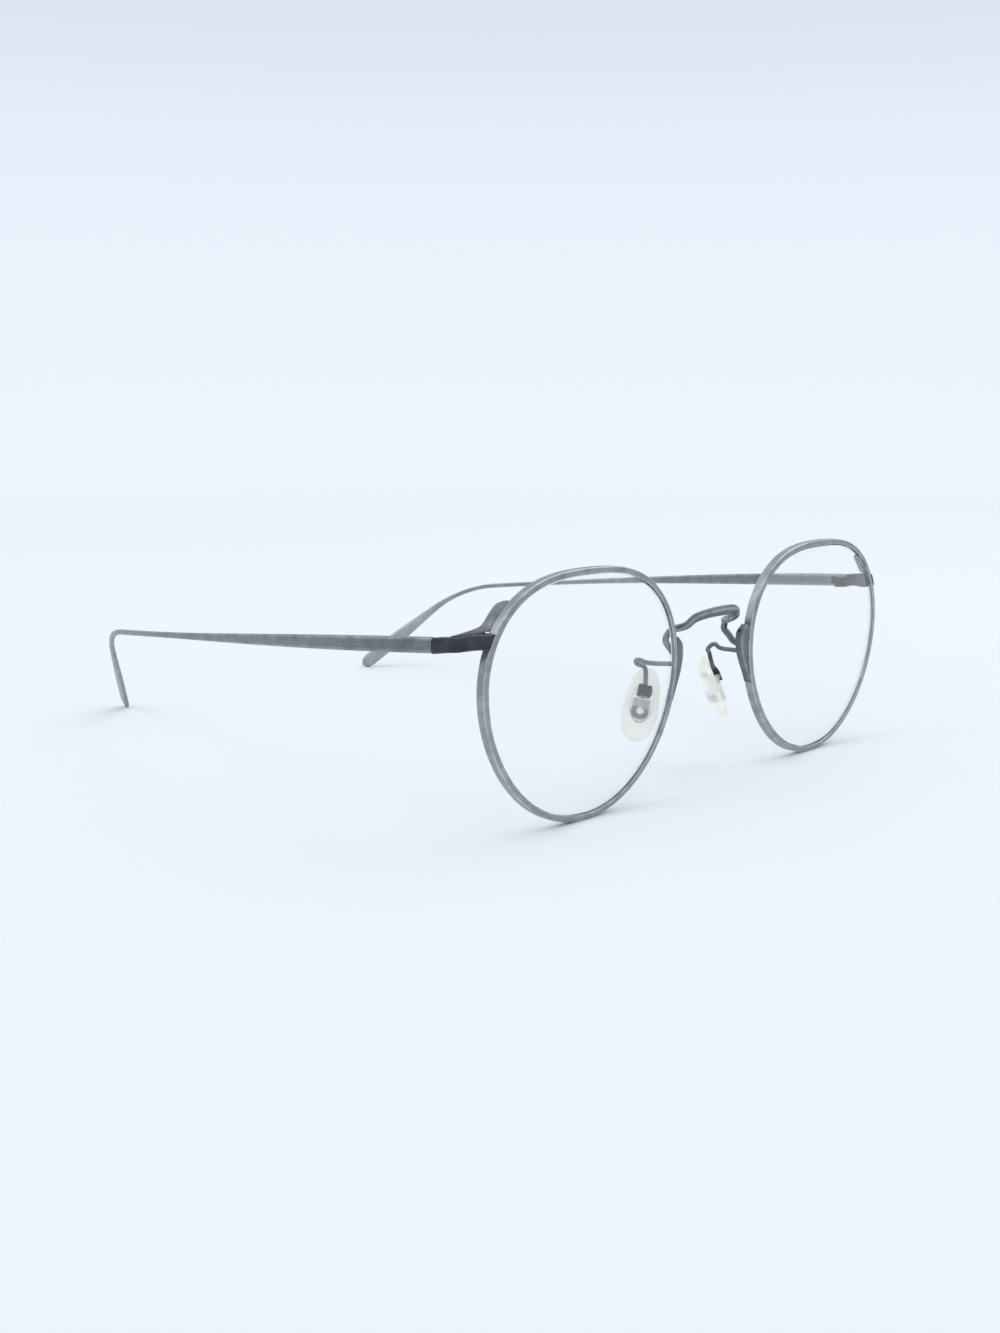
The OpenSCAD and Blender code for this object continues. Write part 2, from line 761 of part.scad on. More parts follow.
// The temples: a flat shaft that tapers to wire, bends over the ear and ends in a flattened tip
bend_angle = acos(cos(bend_down) * cos(bend_in));
bend_l = bend_r * bend_angle * PI / 180;
tip_l = temple_l - shaft_l - bend_l;
// The first stretch of the temple is square to the joint
temple_root = 0.8;
// How far round the shaft and the bend the temple is at distance s from the joint
function shaft_share(s) = min(1, s / shaft_l);
function bend_share(s) = min(1, max(0, (s - shaft_l) / bend_l));
function temple_heading(s, fall) =
    let (inwards = -shaft_out + shaft_bow * shaft_share(s) + bend_in * bend_share(s))
    let (down = fall + shaft_sag * shaft_share(s) + bend_down * bend_share(s))
    [-sin(inwards) * cos(down), cos(inwards) * cos(down), -sin(down)];
temple_steps = 58;
temple_step = (temple_l - temple_root) / temple_steps;
temple_stations = concat([0], [for (i = [0 : temple_steps]) temple_root + i * temple_step]);
temple_start = [temple_x, joint_y + joint_gap / 2, hinge_z];
function temple_path(fall) = concat([temple_start], [
    for (
        i = 0, p = temple_start + [0, temple_root, 0];
        i <= temple_steps;
        p = p + temple_heading(temple_root + (i + 0.5) * temple_step, fall) * temple_step, i = i + 1
    ) p
]);
// The shaft tapers between these two distances, and the tip widens over the last stretch
taper_start = 10;
taper_end = 85;
widen_start = 112;
widen_end = 136;
round_l = 2;
function end_round(s) = s < temple_l - round_l ? 1 : sqrt(max(0.03, 1 - pow((s - temple_l + round_l) / round_l, 2)));
function temple_size(s) =
    let (taper = smooth((s - taper_start) / (taper_end - taper_start)))
    let (widen = smooth((s - widen_start) / (widen_end - widen_start)))
    [
        mix(mix(bar_h, thin_h, taper), tip_w, widen) * end_round(s),
        mix(mix(bar_t, thin_h - 0.1, taper), tip_t, widen) * mix(1, end_round(s), 0.6)
    ];

function temple_rings(fall) = bar_rings(
    temple_path(fall),
    [for (s = temple_stations) temple_size(s)],
    [for (s = temple_stations) cross([1, 0, 0], temple_heading(s, fall))],
    12,
    0.5
);
// The shaft's fall is the one at which the tips stand on the table, found in a few straight-line steps
function lowest(fall) = min([for (r = temple_rings(fall), p = r) p[2]]);
function resting_fall(a, b, tries) =
    let (low_a = lowest(a), low_b = lowest(b))
    tries == 0 || abs(low_b) < 1e-6 ? b : resting_fall(b, b - low_b * (b - a) / (low_b - low_a), tries - 1);
shaft_fall = resting_fall(3, 5, 5);

module temple() {
    color(PEWTER)
    skin(temple_rings(shaft_fall));
}

module left_rim() rim();
module right_rim() on_right() rim();
module left_lens() lens();
module right_lens() on_right() lens();
module left_nasal_plate() nasal_plate();
module right_nasal_plate() on_right() nasal_plate();
module left_pad_arm() pad_arm();
module right_pad_arm() on_right() pad_arm();
module left_pad_box() pad_box();
module right_pad_box() on_right() pad_box();
module left_pad_screw() pad_screw();
module right_pad_screw() on_right() pad_screw();
module left_pad_core() pad_core();
module right_pad_core() on_right() pad_core();
module left_nose_pad() nose_pad();
module right_nose_pad() on_right() nose_pad();
module left_endpiece() endpiece();
module right_endpiece() on_right() endpiece();
module left_rim_lock_upper() rim_lock_upper();
module right_rim_lock_upper() on_right() rim_lock_upper();
module left_rim_lock_lower() rim_lock_lower();
module right_rim_lock_lower() on_right() rim_lock_lower();
module left_rim_lock_screw() rim_lock_screw();
module right_rim_lock_screw() on_right() rim_lock_screw();
module left_front_hinge_leaf() front_hinge_leaf();
module right_front_hinge_leaf() on_right() front_hinge_leaf();
module left_temple_hinge_leaf() temple_hinge_leaf();
module right_temple_hinge_leaf() on_right() temple_hinge_leaf();
module left_hinge_screw() hinge_screw();
module right_hinge_screw() on_right() hinge_screw();
module left_temple() temple();
module right_temple() on_right() temple();

bridge();
right_rim();
left_rim();
right_lens();
left_lens();
right_nasal_plate();
left_nasal_plate();
right_pad_arm();
left_pad_arm();
right_pad_box();
left_pad_box();
right_pad_screw();
left_pad_screw();
right_pad_core();
left_pad_core();
right_nose_pad();
left_nose_pad();
right_endpiece();
left_endpiece();
right_rim_lock_upper();
left_rim_lock_upper();
right_rim_lock_lower();
left_rim_lock_lower();
right_rim_lock_screw();
left_rim_lock_screw();
right_front_hinge_leaf();
left_front_hinge_leaf();
right_temple_hinge_leaf();
left_temple_hinge_leaf();
right_hinge_screw();
left_hinge_screw();
right_temple();
left_temple();
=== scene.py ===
import math

import bpy
import numpy as np
from mathutils import Matrix, Vector


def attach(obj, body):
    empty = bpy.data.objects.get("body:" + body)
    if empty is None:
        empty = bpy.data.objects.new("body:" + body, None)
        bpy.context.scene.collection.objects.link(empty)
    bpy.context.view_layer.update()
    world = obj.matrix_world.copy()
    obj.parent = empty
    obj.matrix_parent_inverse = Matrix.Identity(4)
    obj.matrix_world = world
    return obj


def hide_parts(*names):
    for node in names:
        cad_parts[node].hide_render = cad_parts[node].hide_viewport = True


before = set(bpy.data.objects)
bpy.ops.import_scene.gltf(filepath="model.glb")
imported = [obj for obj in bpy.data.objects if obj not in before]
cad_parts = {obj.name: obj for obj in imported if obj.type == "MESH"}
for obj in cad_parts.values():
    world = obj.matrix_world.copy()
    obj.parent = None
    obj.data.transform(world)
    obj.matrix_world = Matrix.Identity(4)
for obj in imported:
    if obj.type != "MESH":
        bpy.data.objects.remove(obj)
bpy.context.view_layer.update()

# Sizes in millimetres and degrees, the same as in the part's source
MM = 0.001
TOUCH = 0.02
FRONT_Y = -69.8

# Lenses
LENS_W, LENS_H, LENS_GAP = 47.0, 41.6, 24.2
OUTLINE_DROP, OUTLINE_SQUARE = 0.039, 0.0086
LENS_CURVE_R, LENS_T, LENS_PLAY = 179.0, 1.3, 0.05
WRAP, LEAN = 1.2, 0.9
EYE_X = (LENS_GAP + LENS_W) / 2

# Rims
RIM_T, RIM_D, RIM_EDGE = 1.1, 1.7, 0.28
GROOVE, GROOVE_HALF_W = 0.35, 0.42
LOCK_ANGLE, RIM_SLIT, SOLID_RIM_STEPS = 25.5, 0.1, 90
RIM_OUTER = RIM_T - GROOVE
RIM_HALF_D = RIM_D / 2

# Bridge and nasal plates
BRIDGE_W, BRIDGE_T, CURL_D = 2.4, 1.1, 1.1
RIBBON_TIP, RIBBON_ENDS, CURL_STARTS = 42.0, 0.42, 0.56
PLATE_T, PLATE_TIP_T, PLATE_HALF_D = 2.3, 0.16, 0.8
PLATE_TOP, PLATE_FOOT = 5.7, 5.0

# Nose pads with their boss, their pocket and the space for their core, and the pad arms
PAD_L, PAD_W, PAD_T = 14.2, 6.5, 2.7
PAD_SPREAD, PAD_LEAN, PAD_SPLAY = 26.0, 7.0, 42.0
PAD_CENTRE = np.array([11.85, 8.5, -6.75])
PAD_BACK_X, PAD_EGG, PAD_FULL = 0.4, 0.12, 0.9
BOSS_W, BOSS_L, BOSS_X, BOSS_Z, BOSS_EDGE = 4.2, 7.6, 1.1, 0.2, 0.2
PIN_Z, BOX_FRONT_X = 2.2, 0.25
POCKET_X, POCKET_W, POCKET_H = -0.3, 3.1, 3.0
CORE_T, CORE_W = 0.45, 2.9
FOOT_X, FOOT_W, FOOT_LOW_Z, FOOT_HIGH_Z = 0.3, 1.9, -0.6, 0.75
ARM_D = 0.85

# Endpieces
HINGE_SPAN, ENDPIECE_L, ENDPIECE_FALL, JOINT_GAP = 125.0, 8.3, 5.4, 0.1
BAR_H, BAR_T, BAR_NOSE_T, BAR_ROOT_T, BAR_ROOT_L = 2.6, 1.15, 0.35, 2.3, 3.5
BAR_SWING, BAR_TAPER, BAR_EDGE, UPRIGHT_L = 5.6, 0.9, 0.18, 2.2
WING_END, WING_GAP, WING_ROOT_BACK, WING_BACK = 45.0, 0.12, 4.4, 2.6
WING_ROOT_OFF, WING_OFF, WING_FLARE, WING_SLOPE = 0.5, 0.25, 0.5, 2.4
WING_TURN_RATE, WING_BACK_RATE, WING_SPACING = 20, 22, 1.6

# Temples
TEMPLE_L, TEMPLE_ROOT = 145.0, 0.8
SHAFT_L, SHAFT_OUT, SHAFT_BOW, SHAFT_SAG = 101.0, 7.1, 20.9, 1.7
BEND_R, BEND_DOWN, BEND_IN = 27.8, 32.7, 24.4
THIN_H, TIP_W, TIP_T, END_BLUNT = 1.05, 3.5, 1.1, 0.03
THIN_T = THIN_H - 0.1
TAPER_START, TAPER_END, WIDEN_START, WIDEN_END = 10, 85, 112, 136


def cos(a):
    return np.cos(np.radians(a))


def sin(a):
    return np.sin(np.radians(a))


def mix(a, b, q):
    return a + (b - a) * q


def smooth(q):
    q = np.clip(q, 0, 1)
    return q * q * (3 - 2 * q)


def power(c, e):
    return np.sign(c) * np.abs(c) ** e


def unit(v):
    return v / np.linalg.norm(v, axis=-1, keepdims=True)


def vec(x, y, z):
    return np.stack(np.broadcast_arrays(np.asarray(x, float), y, z), -1)


# The lens outline and the left lens's curved surface
def outline_r(a):
    stretch = (LENS_W - LENS_H) / (LENS_W + LENS_H)
    corners = OUTLINE_SQUARE * (1 - cos(4 * a))
    return (LENS_W + LENS_H) / 4 * (1 + stretch * cos(2 * a) + OUTLINE_DROP * sin(3 * a) + corners)


def lens_local(a, r, depth):
    u, v = r * cos(a), r * sin(a)
    w = (u * u + v * v) / (2 * LENS_CURVE_R) + depth
    x = u * cos(WRAP) - w * sin(WRAP)
    y = u * sin(WRAP) + w * cos(WRAP)
    return vec(x, y * cos(LEAN) - v * sin(LEAN), y * sin(LEAN) + v * cos(LEAN))


# The rims stand on the table, which sets the height of the lens centres. Each line of the rim's section that
# may touch the table is a distance outside the lens's outline and a depth
rim_lines = [
    (RIM_OUTER, 0),
    (RIM_OUTER - RIM_EDGE / 4, RIM_HALF_D - RIM_EDGE),
    (RIM_OUTER - RIM_EDGE / 4, RIM_EDGE - RIM_HALF_D),
    (RIM_OUTER - RIM_EDGE, RIM_HALF_D),
]
rim_turns = LOCK_ANGLE + np.linspace(0, 360, SOLID_RIM_STEPS + 1)
EYE_Z = -min(
    lens_local(rim_turns, outline_r(rim_turns) + off, depth)[:, 2].min() for off, depth in rim_lines
)


def place(p):
    return np.asarray(p, float) + [0, FRONT_Y, EYE_Z]


def on_lens(a, r, depth):
    return place(lens_local(a, r, depth) + [EYE_X, 0, 0])


def on_rim(a, off, depth):
    return on_lens(a, outline_r(a) + off, depth)


def curve(points, steps):
    """A smooth curve through the points, with the given number of steps between two of them."""
    p = np.asarray(points, float)
    n = len(p) - 1
    out = []
    for i in range(n):
        a, b, c, d = p[max(i - 1, 0)], p[i], p[i + 1], p[min(i + 2, n)]
        for k in range(steps):
            q = k / steps
            out.append(0.5 * (
                2 * b + (c - a) * q + (2 * a - 5 * b + 4 * c - d) * q * q + (3 * b - a - 3 * c + d) * q ** 3
            ))
    out.append(p[-1])
    return np.array(out)


def headings(path):
    ahead = np.vstack([path[1:], path[-1:]])
    behind = np.vstack([path[:1], path[:-1]])
    return unit(ahead - behind)


def ring_turns(sides):
    return 360 * (np.arange(sides) + 0.5) / sides


def near_corner(turn, threshold=1.0):
    """How near a point of a squarish ring is to one of its four corners, from 0 to 1."""
    return np.clip(np.abs(sin(2 * turn)) * 2 - threshold, 0, 1)


def bar_rings(path, sizes, across, sides, corner):
    """Rings round a path, where sizes holds widths and thicknesses, and across is the width's direction.

    A corner of 1 gives an oval section, and a smaller one a squarer section.
    """
    t = headings(path)
    n = unit(across - (across * t).sum(-1, keepdims=True) * t)
    b = np.cross(t, n)
    a = ring_turns(sides)
    wide = power(cos(a), corner)[None, :, None] * sizes[:, None, :1] / 2
    thick = power(sin(a), corner)[None, :, None] * sizes[:, None, 1:] / 2
    return path[:, None] + n[:, None] * wide + b[:, None] * thick


def rounded(points, radii, steps=4):
    """A closed outline with rounded corners, and for each point how near it is to the middle of a corner."""
    p = np.asarray(points, float)
    out, edge = [], []
    for i, r in enumerate(radii):
        if r == 0:
            out.append(p[i])
            edge.append(0.0)
            continue
        a = p[i] + unit(p[i - 1] - p[i]) * r
        c = p[i] + unit(p[(i + 1) % len(p)] - p[i]) * r
        for k in range(steps + 1):
            q = k / steps
            out.append((1 - q) ** 2 * a + 2 * q * (1 - q) * p[i] + q * q * c)
            edge.append(1 - abs(2 * q - 1))
    return np.array(out), np.array(edge)


# Shader helpers, where n stands for a tree's nodes and k for its links
def nodes_of(name):
    m = bpy.data.materials.new(name)
    m.use_nodes = True
    return m, m.node_tree.nodes, m.node_tree.links, m.node_tree.nodes["Principled BSDF"]


def attribute(n, name):
    node = n.new("ShaderNodeAttribute")
    node.attribute_name = name
    return node.outputs["Fac"]


def noise(n, k, coord, scale, detail, stretch=None):
    t = n.new("ShaderNodeTexNoise")
    t.inputs["Scale"].default_value = scale
    t.inputs["Detail"].default_value = detail
    if stretch:
        m = n.new("ShaderNodeMapping")
        m.inputs["Scale"].default_value = stretch
        k.new(coord, m.inputs["Vector"])
        coord = m.outputs["Vector"]
    k.new(coord, t.inputs["Vector"])
    return t.outputs["Fac"]


def ramp(n, k, value, stops):
    r = n.new("ShaderNodeValToRGB")
    while len(r.color_ramp.elements) < len(stops):
        r.color_ramp.elements.new(0.5)
    for e, (at, colour) in zip(r.color_ramp.elements, stops):
        e.position = at
        e.color = (*colour, 1)
    k.new(value, r.inputs["Fac"])
    return r.outputs["Color"]


def map_range(n, k, value, from_low, from_high, to_low, to_high):
    m = n.new("ShaderNodeMapRange")
    for i, v in enumerate((from_low, from_high, to_low, to_high)):
        m.inputs[i + 1].default_value = v
    k.new(value, m.inputs[0])
    return m.outputs[0]


def blend(n, k, factor, a, b, kind="MIX"):
    m = n.new("ShaderNodeMix")
    m.data_type = "RGBA"
    m.blend_type = kind
    for socket, value in ((m.inputs[0], factor), (m.inputs[6], a), (m.inputs[7], b)):
        if isinstance(value, (int, float)):
            socket.default_value = value
        elif isinstance(value, tuple):
            socket.default_value = (*value, 1)
        else:
            k.new(value, socket)
    return m.outputs[2]


def combine(n, k, a, b, op="ADD"):
    m = n.new("ShaderNodeMath")
    m.operation = op
    for i, v in enumerate((a, b)):
        if isinstance(v, (int, float)):
            m.inputs[i].default_value = v
        else:
            k.new(v, m.inputs[i])
    return m.outputs[0]


def mix_shaders(n, k, factor, a, b):
    m = n.new("ShaderNodeMixShader")
    k.new(factor, m.inputs["Fac"])
    k.new(a, m.inputs[1])
    k.new(b, m.inputs[2])
    return m.outputs["Shader"]


def add_bump(n, k, shader, height, strength, distance):
    bump = n.new("ShaderNodeBump")
    bump.inputs["Strength"].default_value = strength
    bump.inputs["Distance"].default_value = distance
    k.new(height, bump.inputs["Height"])
    k.new(bump.outputs["Normal"], shader.inputs["Normal"])


# Noise scales of the plating's patina and pits, and of its brushing on swept and on small pieces
PATINA, PITS = 420, 5200
BRUSHED_SWEPT, BRUSHED_SMALL = (260, 14000, 1), (9000, 700, 9000)
# Noise scales of the lens's wipe marks, and of the pad's clouds and surface grain
WIPES, CLOUDS, PAD_GRAIN = (60, 60, 420), 380, 4200
# Height in metres of the metal's and the pad's surface grain, and of the lens's wipe marks
GRAIN_HEIGHT, WIPE_HEIGHT = 0.00003, 0.00001
# How the plating's grain darkens and lightens its patina, and how much brighter the colour is painted where a
# piece is marked as
# pale: a painted sheen that stands for light on a lit face
GRAIN_DARK, GRAIN_LIGHT, PAINTED_SHEEN_GAIN = (0.72, 0.72, 0.72), (1.12, 1.12, 1.12), (3.2, 3.2, 3.2)
# How much smoother and rougher than its own roughness a metal is in places
SMOOTHER, ROUGHER = 0.08, 0.12
LENS_TINT, BLACK = (0.975, 0.99, 0.995), (0.0, 0.0, 0.0)
# The pad's milk in its thin and thick parts, at its foot and at its rim
MILK_THIN, MILK_THICK = (0.88, 0.885, 0.85), (0.94, 0.945, 0.915)
MILK_FOOT, MILK_RIM = (0.975, 0.95, 0.935), (0.87, 0.885, 0.83)


def metal(name, dark, light, worn, rough, brushed=True, pits=0.5):
    """Plated metal: a mottled patina, fine lengthwise brushing, small pits, brighter worn edges and a painted
    sheen where marked pale.
    """
    m, n, k, shader = nodes_of(name)
    where = n.new("ShaderNodeTexCoord")
    obj = where.outputs["Object"]
    mottle = noise(n, k, obj, PATINA, 4)
    speck = noise(n, k, obj, PITS, 2)
    if brushed:
        lines = noise(n, k, where.outputs["UV"], 1, 2, BRUSHED_SWEPT)
    else:
        lines = noise(n, k, obj, 1, 2, BRUSHED_SMALL)
    colour = ramp(n, k, mottle, ((0.3, dark), (0.72, light)))
    grain = ramp(n, k, combine(n, k, speck, lines, "MULTIPLY"), ((0.1, GRAIN_DARK), (0.4, GRAIN_LIGHT)))
    colour = blend(n, k, 0.8, colour, grain, "MULTIPLY")
    # Painted sheen: where a piece is marked as pale its colour is brightened, standing for light on a lit
    # face
    paler = blend(n, k, 1.0, colour, PAINTED_SHEEN_GAIN, "MULTIPLY")
    colour = blend(n, k, attribute(n, "pale"), colour, paler)
    patches = map_range(n, k, mottle, 0.35, 0.65, 0.25, 1.0)
    colour = blend(n, k, combine(n, k, attribute(n, "edge"), patches, "MULTIPLY"), colour, worn)
    k.new(colour, shader.inputs["Base Color"])
    shader.inputs["Metallic"].default_value = 1
    uneven = map_range(n, k, combine(n, k, mottle, lines), 0.6, 1.4, rough - SMOOTHER, rough + ROUGHER)
    k.new(uneven, shader.inputs["Roughness"])
    height = combine(n, k, combine(n, k, speck, pits, "MULTIPLY"), lines)
    add_bump(n, k, shader, height, 0.35, GRAIN_HEIGHT)
    return m


def glass(name):
    """Clear lens plastic with a few faint wipe marks in its polish; its shadow is clear too."""
    m, n, k, shader = nodes_of(name)
    where = n.new("ShaderNodeTexCoord")
    wipes = noise(n, k, where.outputs["Object"], 1, 2, WIPES)
    shader.inputs["Base Color"].default_value = (*LENS_TINT, 1)
    shader.inputs["Transmission Weight"].default_value = 1
    shader.inputs["IOR"].default_value = 1.5
    k.new(map_range(n, k, wipes, 0.45, 0.75, 0.0, 0.035), shader.inputs["Roughness"])
    add_bump(n, k, shader, wipes, 0.02, WIPE_HEIGHT)
    clear = n.new("ShaderNodeBsdfTransparent")
    path = n.new("ShaderNodeLightPath")
    unshaded = combine(n, k, path.outputs["Is Shadow Ray"], path.outputs["Is Diffuse Ray"], "MAXIMUM")
    chosen = mix_shaders(n, k, unshaded, shader.outputs["BSDF"], clear.outputs["BSDF"])
    k.new(chosen, n["Material Output"].inputs["Surface"])
    return m


def ivory(name):
    """Milky pad plastic: paler at its foot, more olive at its rim, clearer over its metal core; its milk has
    a painted glow.
    """
    m, n, k, shader = nodes_of(name)
    where = n.new("ShaderNodeTexCoord")
    cloud = noise(n, k, where.outputs["Object"], CLOUDS, 3)
    fine = noise(n, k, where.outputs["Object"], PAD_GRAIN, 2)
    clear = attribute(n, "clear")
    milk = ramp(n, k, cloud, ((0.3, MILK_THIN), (0.7, MILK_THICK)))
    milk = blend(n, k, attribute(n, "foot"), milk, MILK_FOOT)
    k.new(blend(n, k, attribute(n, "edge"), milk, MILK_RIM), shader.inputs["Base Color"])
    shader.inputs["Subsurface Weight"].default_value = 0.35
    shader.inputs["Subsurface Radius"].default_value = (1.0, 0.8, 0.6)
    shader.inputs["Subsurface Scale"].default_value = 0.0015
    k.new(map_range(n, k, clear, 0, 1, 0.45, 0.93), shader.inputs["Transmission Weight"])
    # A painted glow: the milky part is given a faint emission, as if lit from inside, though it is no lamp
    k.new(blend(n, k, clear, milk, BLACK), shader.inputs["Emission Color"])
    shader.inputs["Emission Strength"].default_value = 0.13
    shader.inputs["IOR"].default_value = 1.48
    k.new(map_range(n, k, fine, 0.3, 0.7, 0.3, 0.36), shader.inputs["Roughness"])
    add_bump(n, k, shader, fine, 0.04, GRAIN_HEIGHT)
    return m


# Each metal's darkest and lightest patina, its worn edges and its roughness; some darker copies also hold
# painted shade
PEWTER = metal("pewter", (0.275, 0.302, 0.325), (0.42, 0.456, 0.485), (0.68, 0.72, 0.75), 0.36)
# The temples' darker pewter is painted shade at their root, lightened by painted sheen along them
SHAFT = metal("shaft_pewter_painted_shade", (0.165, 0.181, 0.195), (0.222, 0.242, 0.26), (0.44, 0.47, 0.495), 0.36)
# The endpieces' darker pewter is partly their own tone and partly painted shade on their sides turned from
# the light
DARK = metal("dark_pewter", (0.043, 0.049, 0.056), (0.082, 0.093, 0.105), (0.26, 0.27, 0.285), 0.38)
BRIDGE = metal("bridge_pewter", (0.12, 0.131, 0.143), (0.22, 0.24, 0.26), (0.46, 0.49, 0.515), 0.34)
# The small cast parts' darker pewter is partly their own tone and partly painted shade on the hinge and on
# the pad box in its pocket
DARK_CAST = metal(
    "small_pewter_painted_shade", (0.03, 0.032, 0.036), (0.06, 0.065, 0.072), (0.18, 0.19, 0.2), 0.42,
    brushed=False, pits=0.9,
)
STEEL = metal(
    "screw_steel", (0.30, 0.31, 0.32), (0.44, 0.45, 0.46), (0.6, 0.61, 0.62), 0.3,
    brushed=False, pits=0.7,
)
CLEAR = glass("clear_lens")
IVORY = ivory("ivory_pad")


# Mesh building
def flat(arrays):
    return np.concatenate([np.ravel(one) for one in arrays])


def add_mesh(name, verts, faces, uvs, material, body, nodes, attributes, sharp=35):
    v = np.asarray(verts, float) * MM
    volume = sum(np.dot(v[f[0]], np.cross(v[f[i]], v[f[i + 1]])) for f in faces for i in range(1, len(f) - 1))
    if volume < 0:
        faces = [f[::-1] for f in faces]
        uvs = [u[::-1] for u in uvs]
    mesh = bpy.data.meshes.new(name)
    mesh.from_pydata([tuple(p) for p in v], [], faces)
    uv_layer = mesh.uv_layers.new(name="UVMap")
    uv_layer.data.foreach_set("uv", [c for u in uvs for pair in u for c in pair])
    for key, values in attributes:
        layer = mesh.attributes.new(key, "FLOAT", "POINT")
        layer.data.foreach_set("value", np.asarray(values, np.float32))
    mesh.shade_smooth()
    mesh.set_sharp_from_angle(angle=math.radians(sharp))
    mesh.materials.append(material)
    obj = bpy.data.objects.new(name, mesh)
    bpy.context.scene.collection.objects.link(obj)
    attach(obj, body)
    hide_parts(*nodes)
    return obj


def ring_faces(rings, start=0):
    """Faces and texture coordinates of a skin over rings of points, capped at both ends."""
    n, m = rings.shape[:2]
    along = np.concatenate([[0], np.cumsum(np.linalg.norm(np.diff(rings.mean(1), axis=0), axis=-1))]) * MM
    widest = rings[np.argmax(np.linalg.norm(rings - rings.mean(1, keepdims=True), axis=-1).max(1))]
    step = np.linalg.norm(np.roll(widest, -1, axis=0) - widest, axis=-1)
    around = np.concatenate([[0], np.cumsum(step)]) * MM
    faces, uvs = [], []
    for i in range(n - 1):
        here, ahead = start + i * m, start + (i + 1) * m
        for j in range(m):
            after = (j + 1) % m
            faces.append([here + j, ahead + j, ahead + after, here + after])
            low, high = around[j], around[j + 1]
            uvs.append([(along[i], low), (along[i + 1], low), (along[i + 1], high), (along[i], high)])
    for i, order in ((0, 1), (n - 1, -1)):
        faces.append([start + i * m + j for j in range(m)][::order])
        uvs.append([(along[i], 0.0)] * m)
    return faces, uvs


def skin(name, side, parts, material, body, nodes, edges=None, sharp=35, pale=None):
    """One object from one or more sets of rings, mirrored where side is -1."""
    verts, faces, uvs, start = [], [], [], 0
    for rings in parts:
        rings = rings * [side, 1, 1]
        f, u = ring_faces(rings, start)
        faces += f
        uvs += u
        verts.append(rings.reshape(-1, 3))
        start += rings.shape[0] * rings.shape[1]
    verts = np.vstack(verts)
    attributes = [("edge", np.zeros(len(verts)) if edges is None else flat(edges))]
    if pale is not None:
        attributes.append(("pale", flat(pale)))
    add_mesh(name, verts, faces, uvs, material, body, nodes, attributes, sharp)


# The rims and the lenses
RIM_STEPS, LENS_SIDES = 360, 180
RIM_CROWN, RIM_CROWN_ROUND, RIM_INNER_ROUND, RIM_OUTER_ROUND = 0.03, 0.3, 0.16, 0.22
LENS_SHARES = (0.004, 0.15, 0.3, 0.45, 0.6, 0.75, 0.9)
LENS_CHAMFER = 0.1


def rim_rings():
    slit = math.degrees(RIM_SLIT / LENS_W * 2)
    a = LOCK_ANGLE + slit / 2 + (360 - slit) * np.linspace(0, 1, RIM_STEPS + 1)
    section, edge = rounded(
        [
            [-GROOVE, -GROOVE_HALF_W],
            [-GROOVE, -RIM_HALF_D],
            [RIM_OUTER - RIM_CROWN, -RIM_HALF_D],
            [RIM_OUTER, 0],
            [RIM_OUTER - RIM_CROWN, RIM_HALF_D],
            [-GROOVE, RIM_HALF_D],
            [-GROOVE, GROOVE_HALF_W],
            [0, 0],
        ],
        [0, RIM_INNER_ROUND, RIM_OUTER_ROUND, RIM_CROWN_ROUND, RIM_OUTER_ROUND, RIM_INNER_ROUND, 0, 0],
    )
    rings = on_rim(a[:, None], section[None, :, 0], section[None, :, 1])
    edge[np.abs(section[:, 1]) < RIM_HALF_D / 2] = 0
    return rings, np.broadcast_to(edge, rings.shape[:2])


def lens_rings():
    a = -360 * np.arange(LENS_SIDES) / LENS_SIDES
    half, bevel, shelf = LENS_T / 2, GROOVE_HALF_W - LENS_PLAY, GROOVE + LENS_PLAY
    rows = [(share, 0, -half) for share in LENS_SHARES]
    rows += [
        (1, -shelf - LENS_CHAMFER, -half),
        (1, -shelf, LENS_CHAMFER - half),
        (1, -shelf, -bevel),
        (1, -LENS_PLAY, 0),
    ]
    rows += [(share, off, -depth) for share, off, depth in rows[-2::-1]]
    return np.array([on_lens(a, outline_r(a) * share + off, depth) for share, off, depth in rows])


# The bridge: an arched ribbon whose ends curl back and come forward again into the nasal plates
BRIDGE_HALF = [
    [0, -0.73, 10.07], [3.42, -0.48, 9.88], [6.04, 0.51, 9.16], [7.35, 1.45, 7.9], [8.07, 3.08, 7.28],
    [8.71, 4.25, 7.1], [9.45, 4.84, 6.2], [9.65, 5.06, 5.11], [9.89, 4.26, 4.14], [9.86, 2.95, 2.94],
    [10.08, 1.62, 2.57],
]
BRIDGE_STEPS, BRIDGE_SIDES, BRIDGE_CORNER = 14, 28, 0.68


def bridge_rings():
    half = place(curve(BRIDGE_HALF, BRIDGE_STEPS))
    last = len(half) - 1
    i = np.arange(-last, last + 1)
    flip = np.where(i < 0, -1, 1)[:, None] * [1, 0, 0] + [0, 1, 1]
    curled = smooth((np.abs(i) / last - RIBBON_ENDS) / (CURL_STARTS - RIBBON_ENDS))[:, None]
    sizes = np.hstack([mix(BRIDGE_W, CURL_D, curled), mix(BRIDGE_T, CURL_D, curled)])
    # The width's direction is tipped forward in the middle and carried along the path without twisting
    path = half[np.abs(i)] * flip
    carried = [np.array([0, -sin(RIBBON_TIP), cos(RIBBON_TIP)])]
    for t in headings(path)[last + 1:]:
        carried.append(unit(carried[-1] - (carried[-1] @ t) * t))
    across = np.array(carried)[np.abs(i)] * flip
    rings = bar_rings(path, sizes, across, BRIDGE_SIDES, BRIDGE_CORNER)
    return rings, near_corner(ring_turns(BRIDGE_SIDES), 1.1)[None, :] * (1 - curled)


# The nasal plates: a section's face and sides are a rounded square, worn near its two corners, whose places
# and reach are angles
PLATE_STEPS, PLATE_SIDES = 70, 21
PLATE_FACE_ROUND, PLATE_SIDE_ROUND = 0.5, 0.62
PLATE_WORN_AT, PLATE_WORN_REACH, PLATE_WORN = 52, 22, 0.8


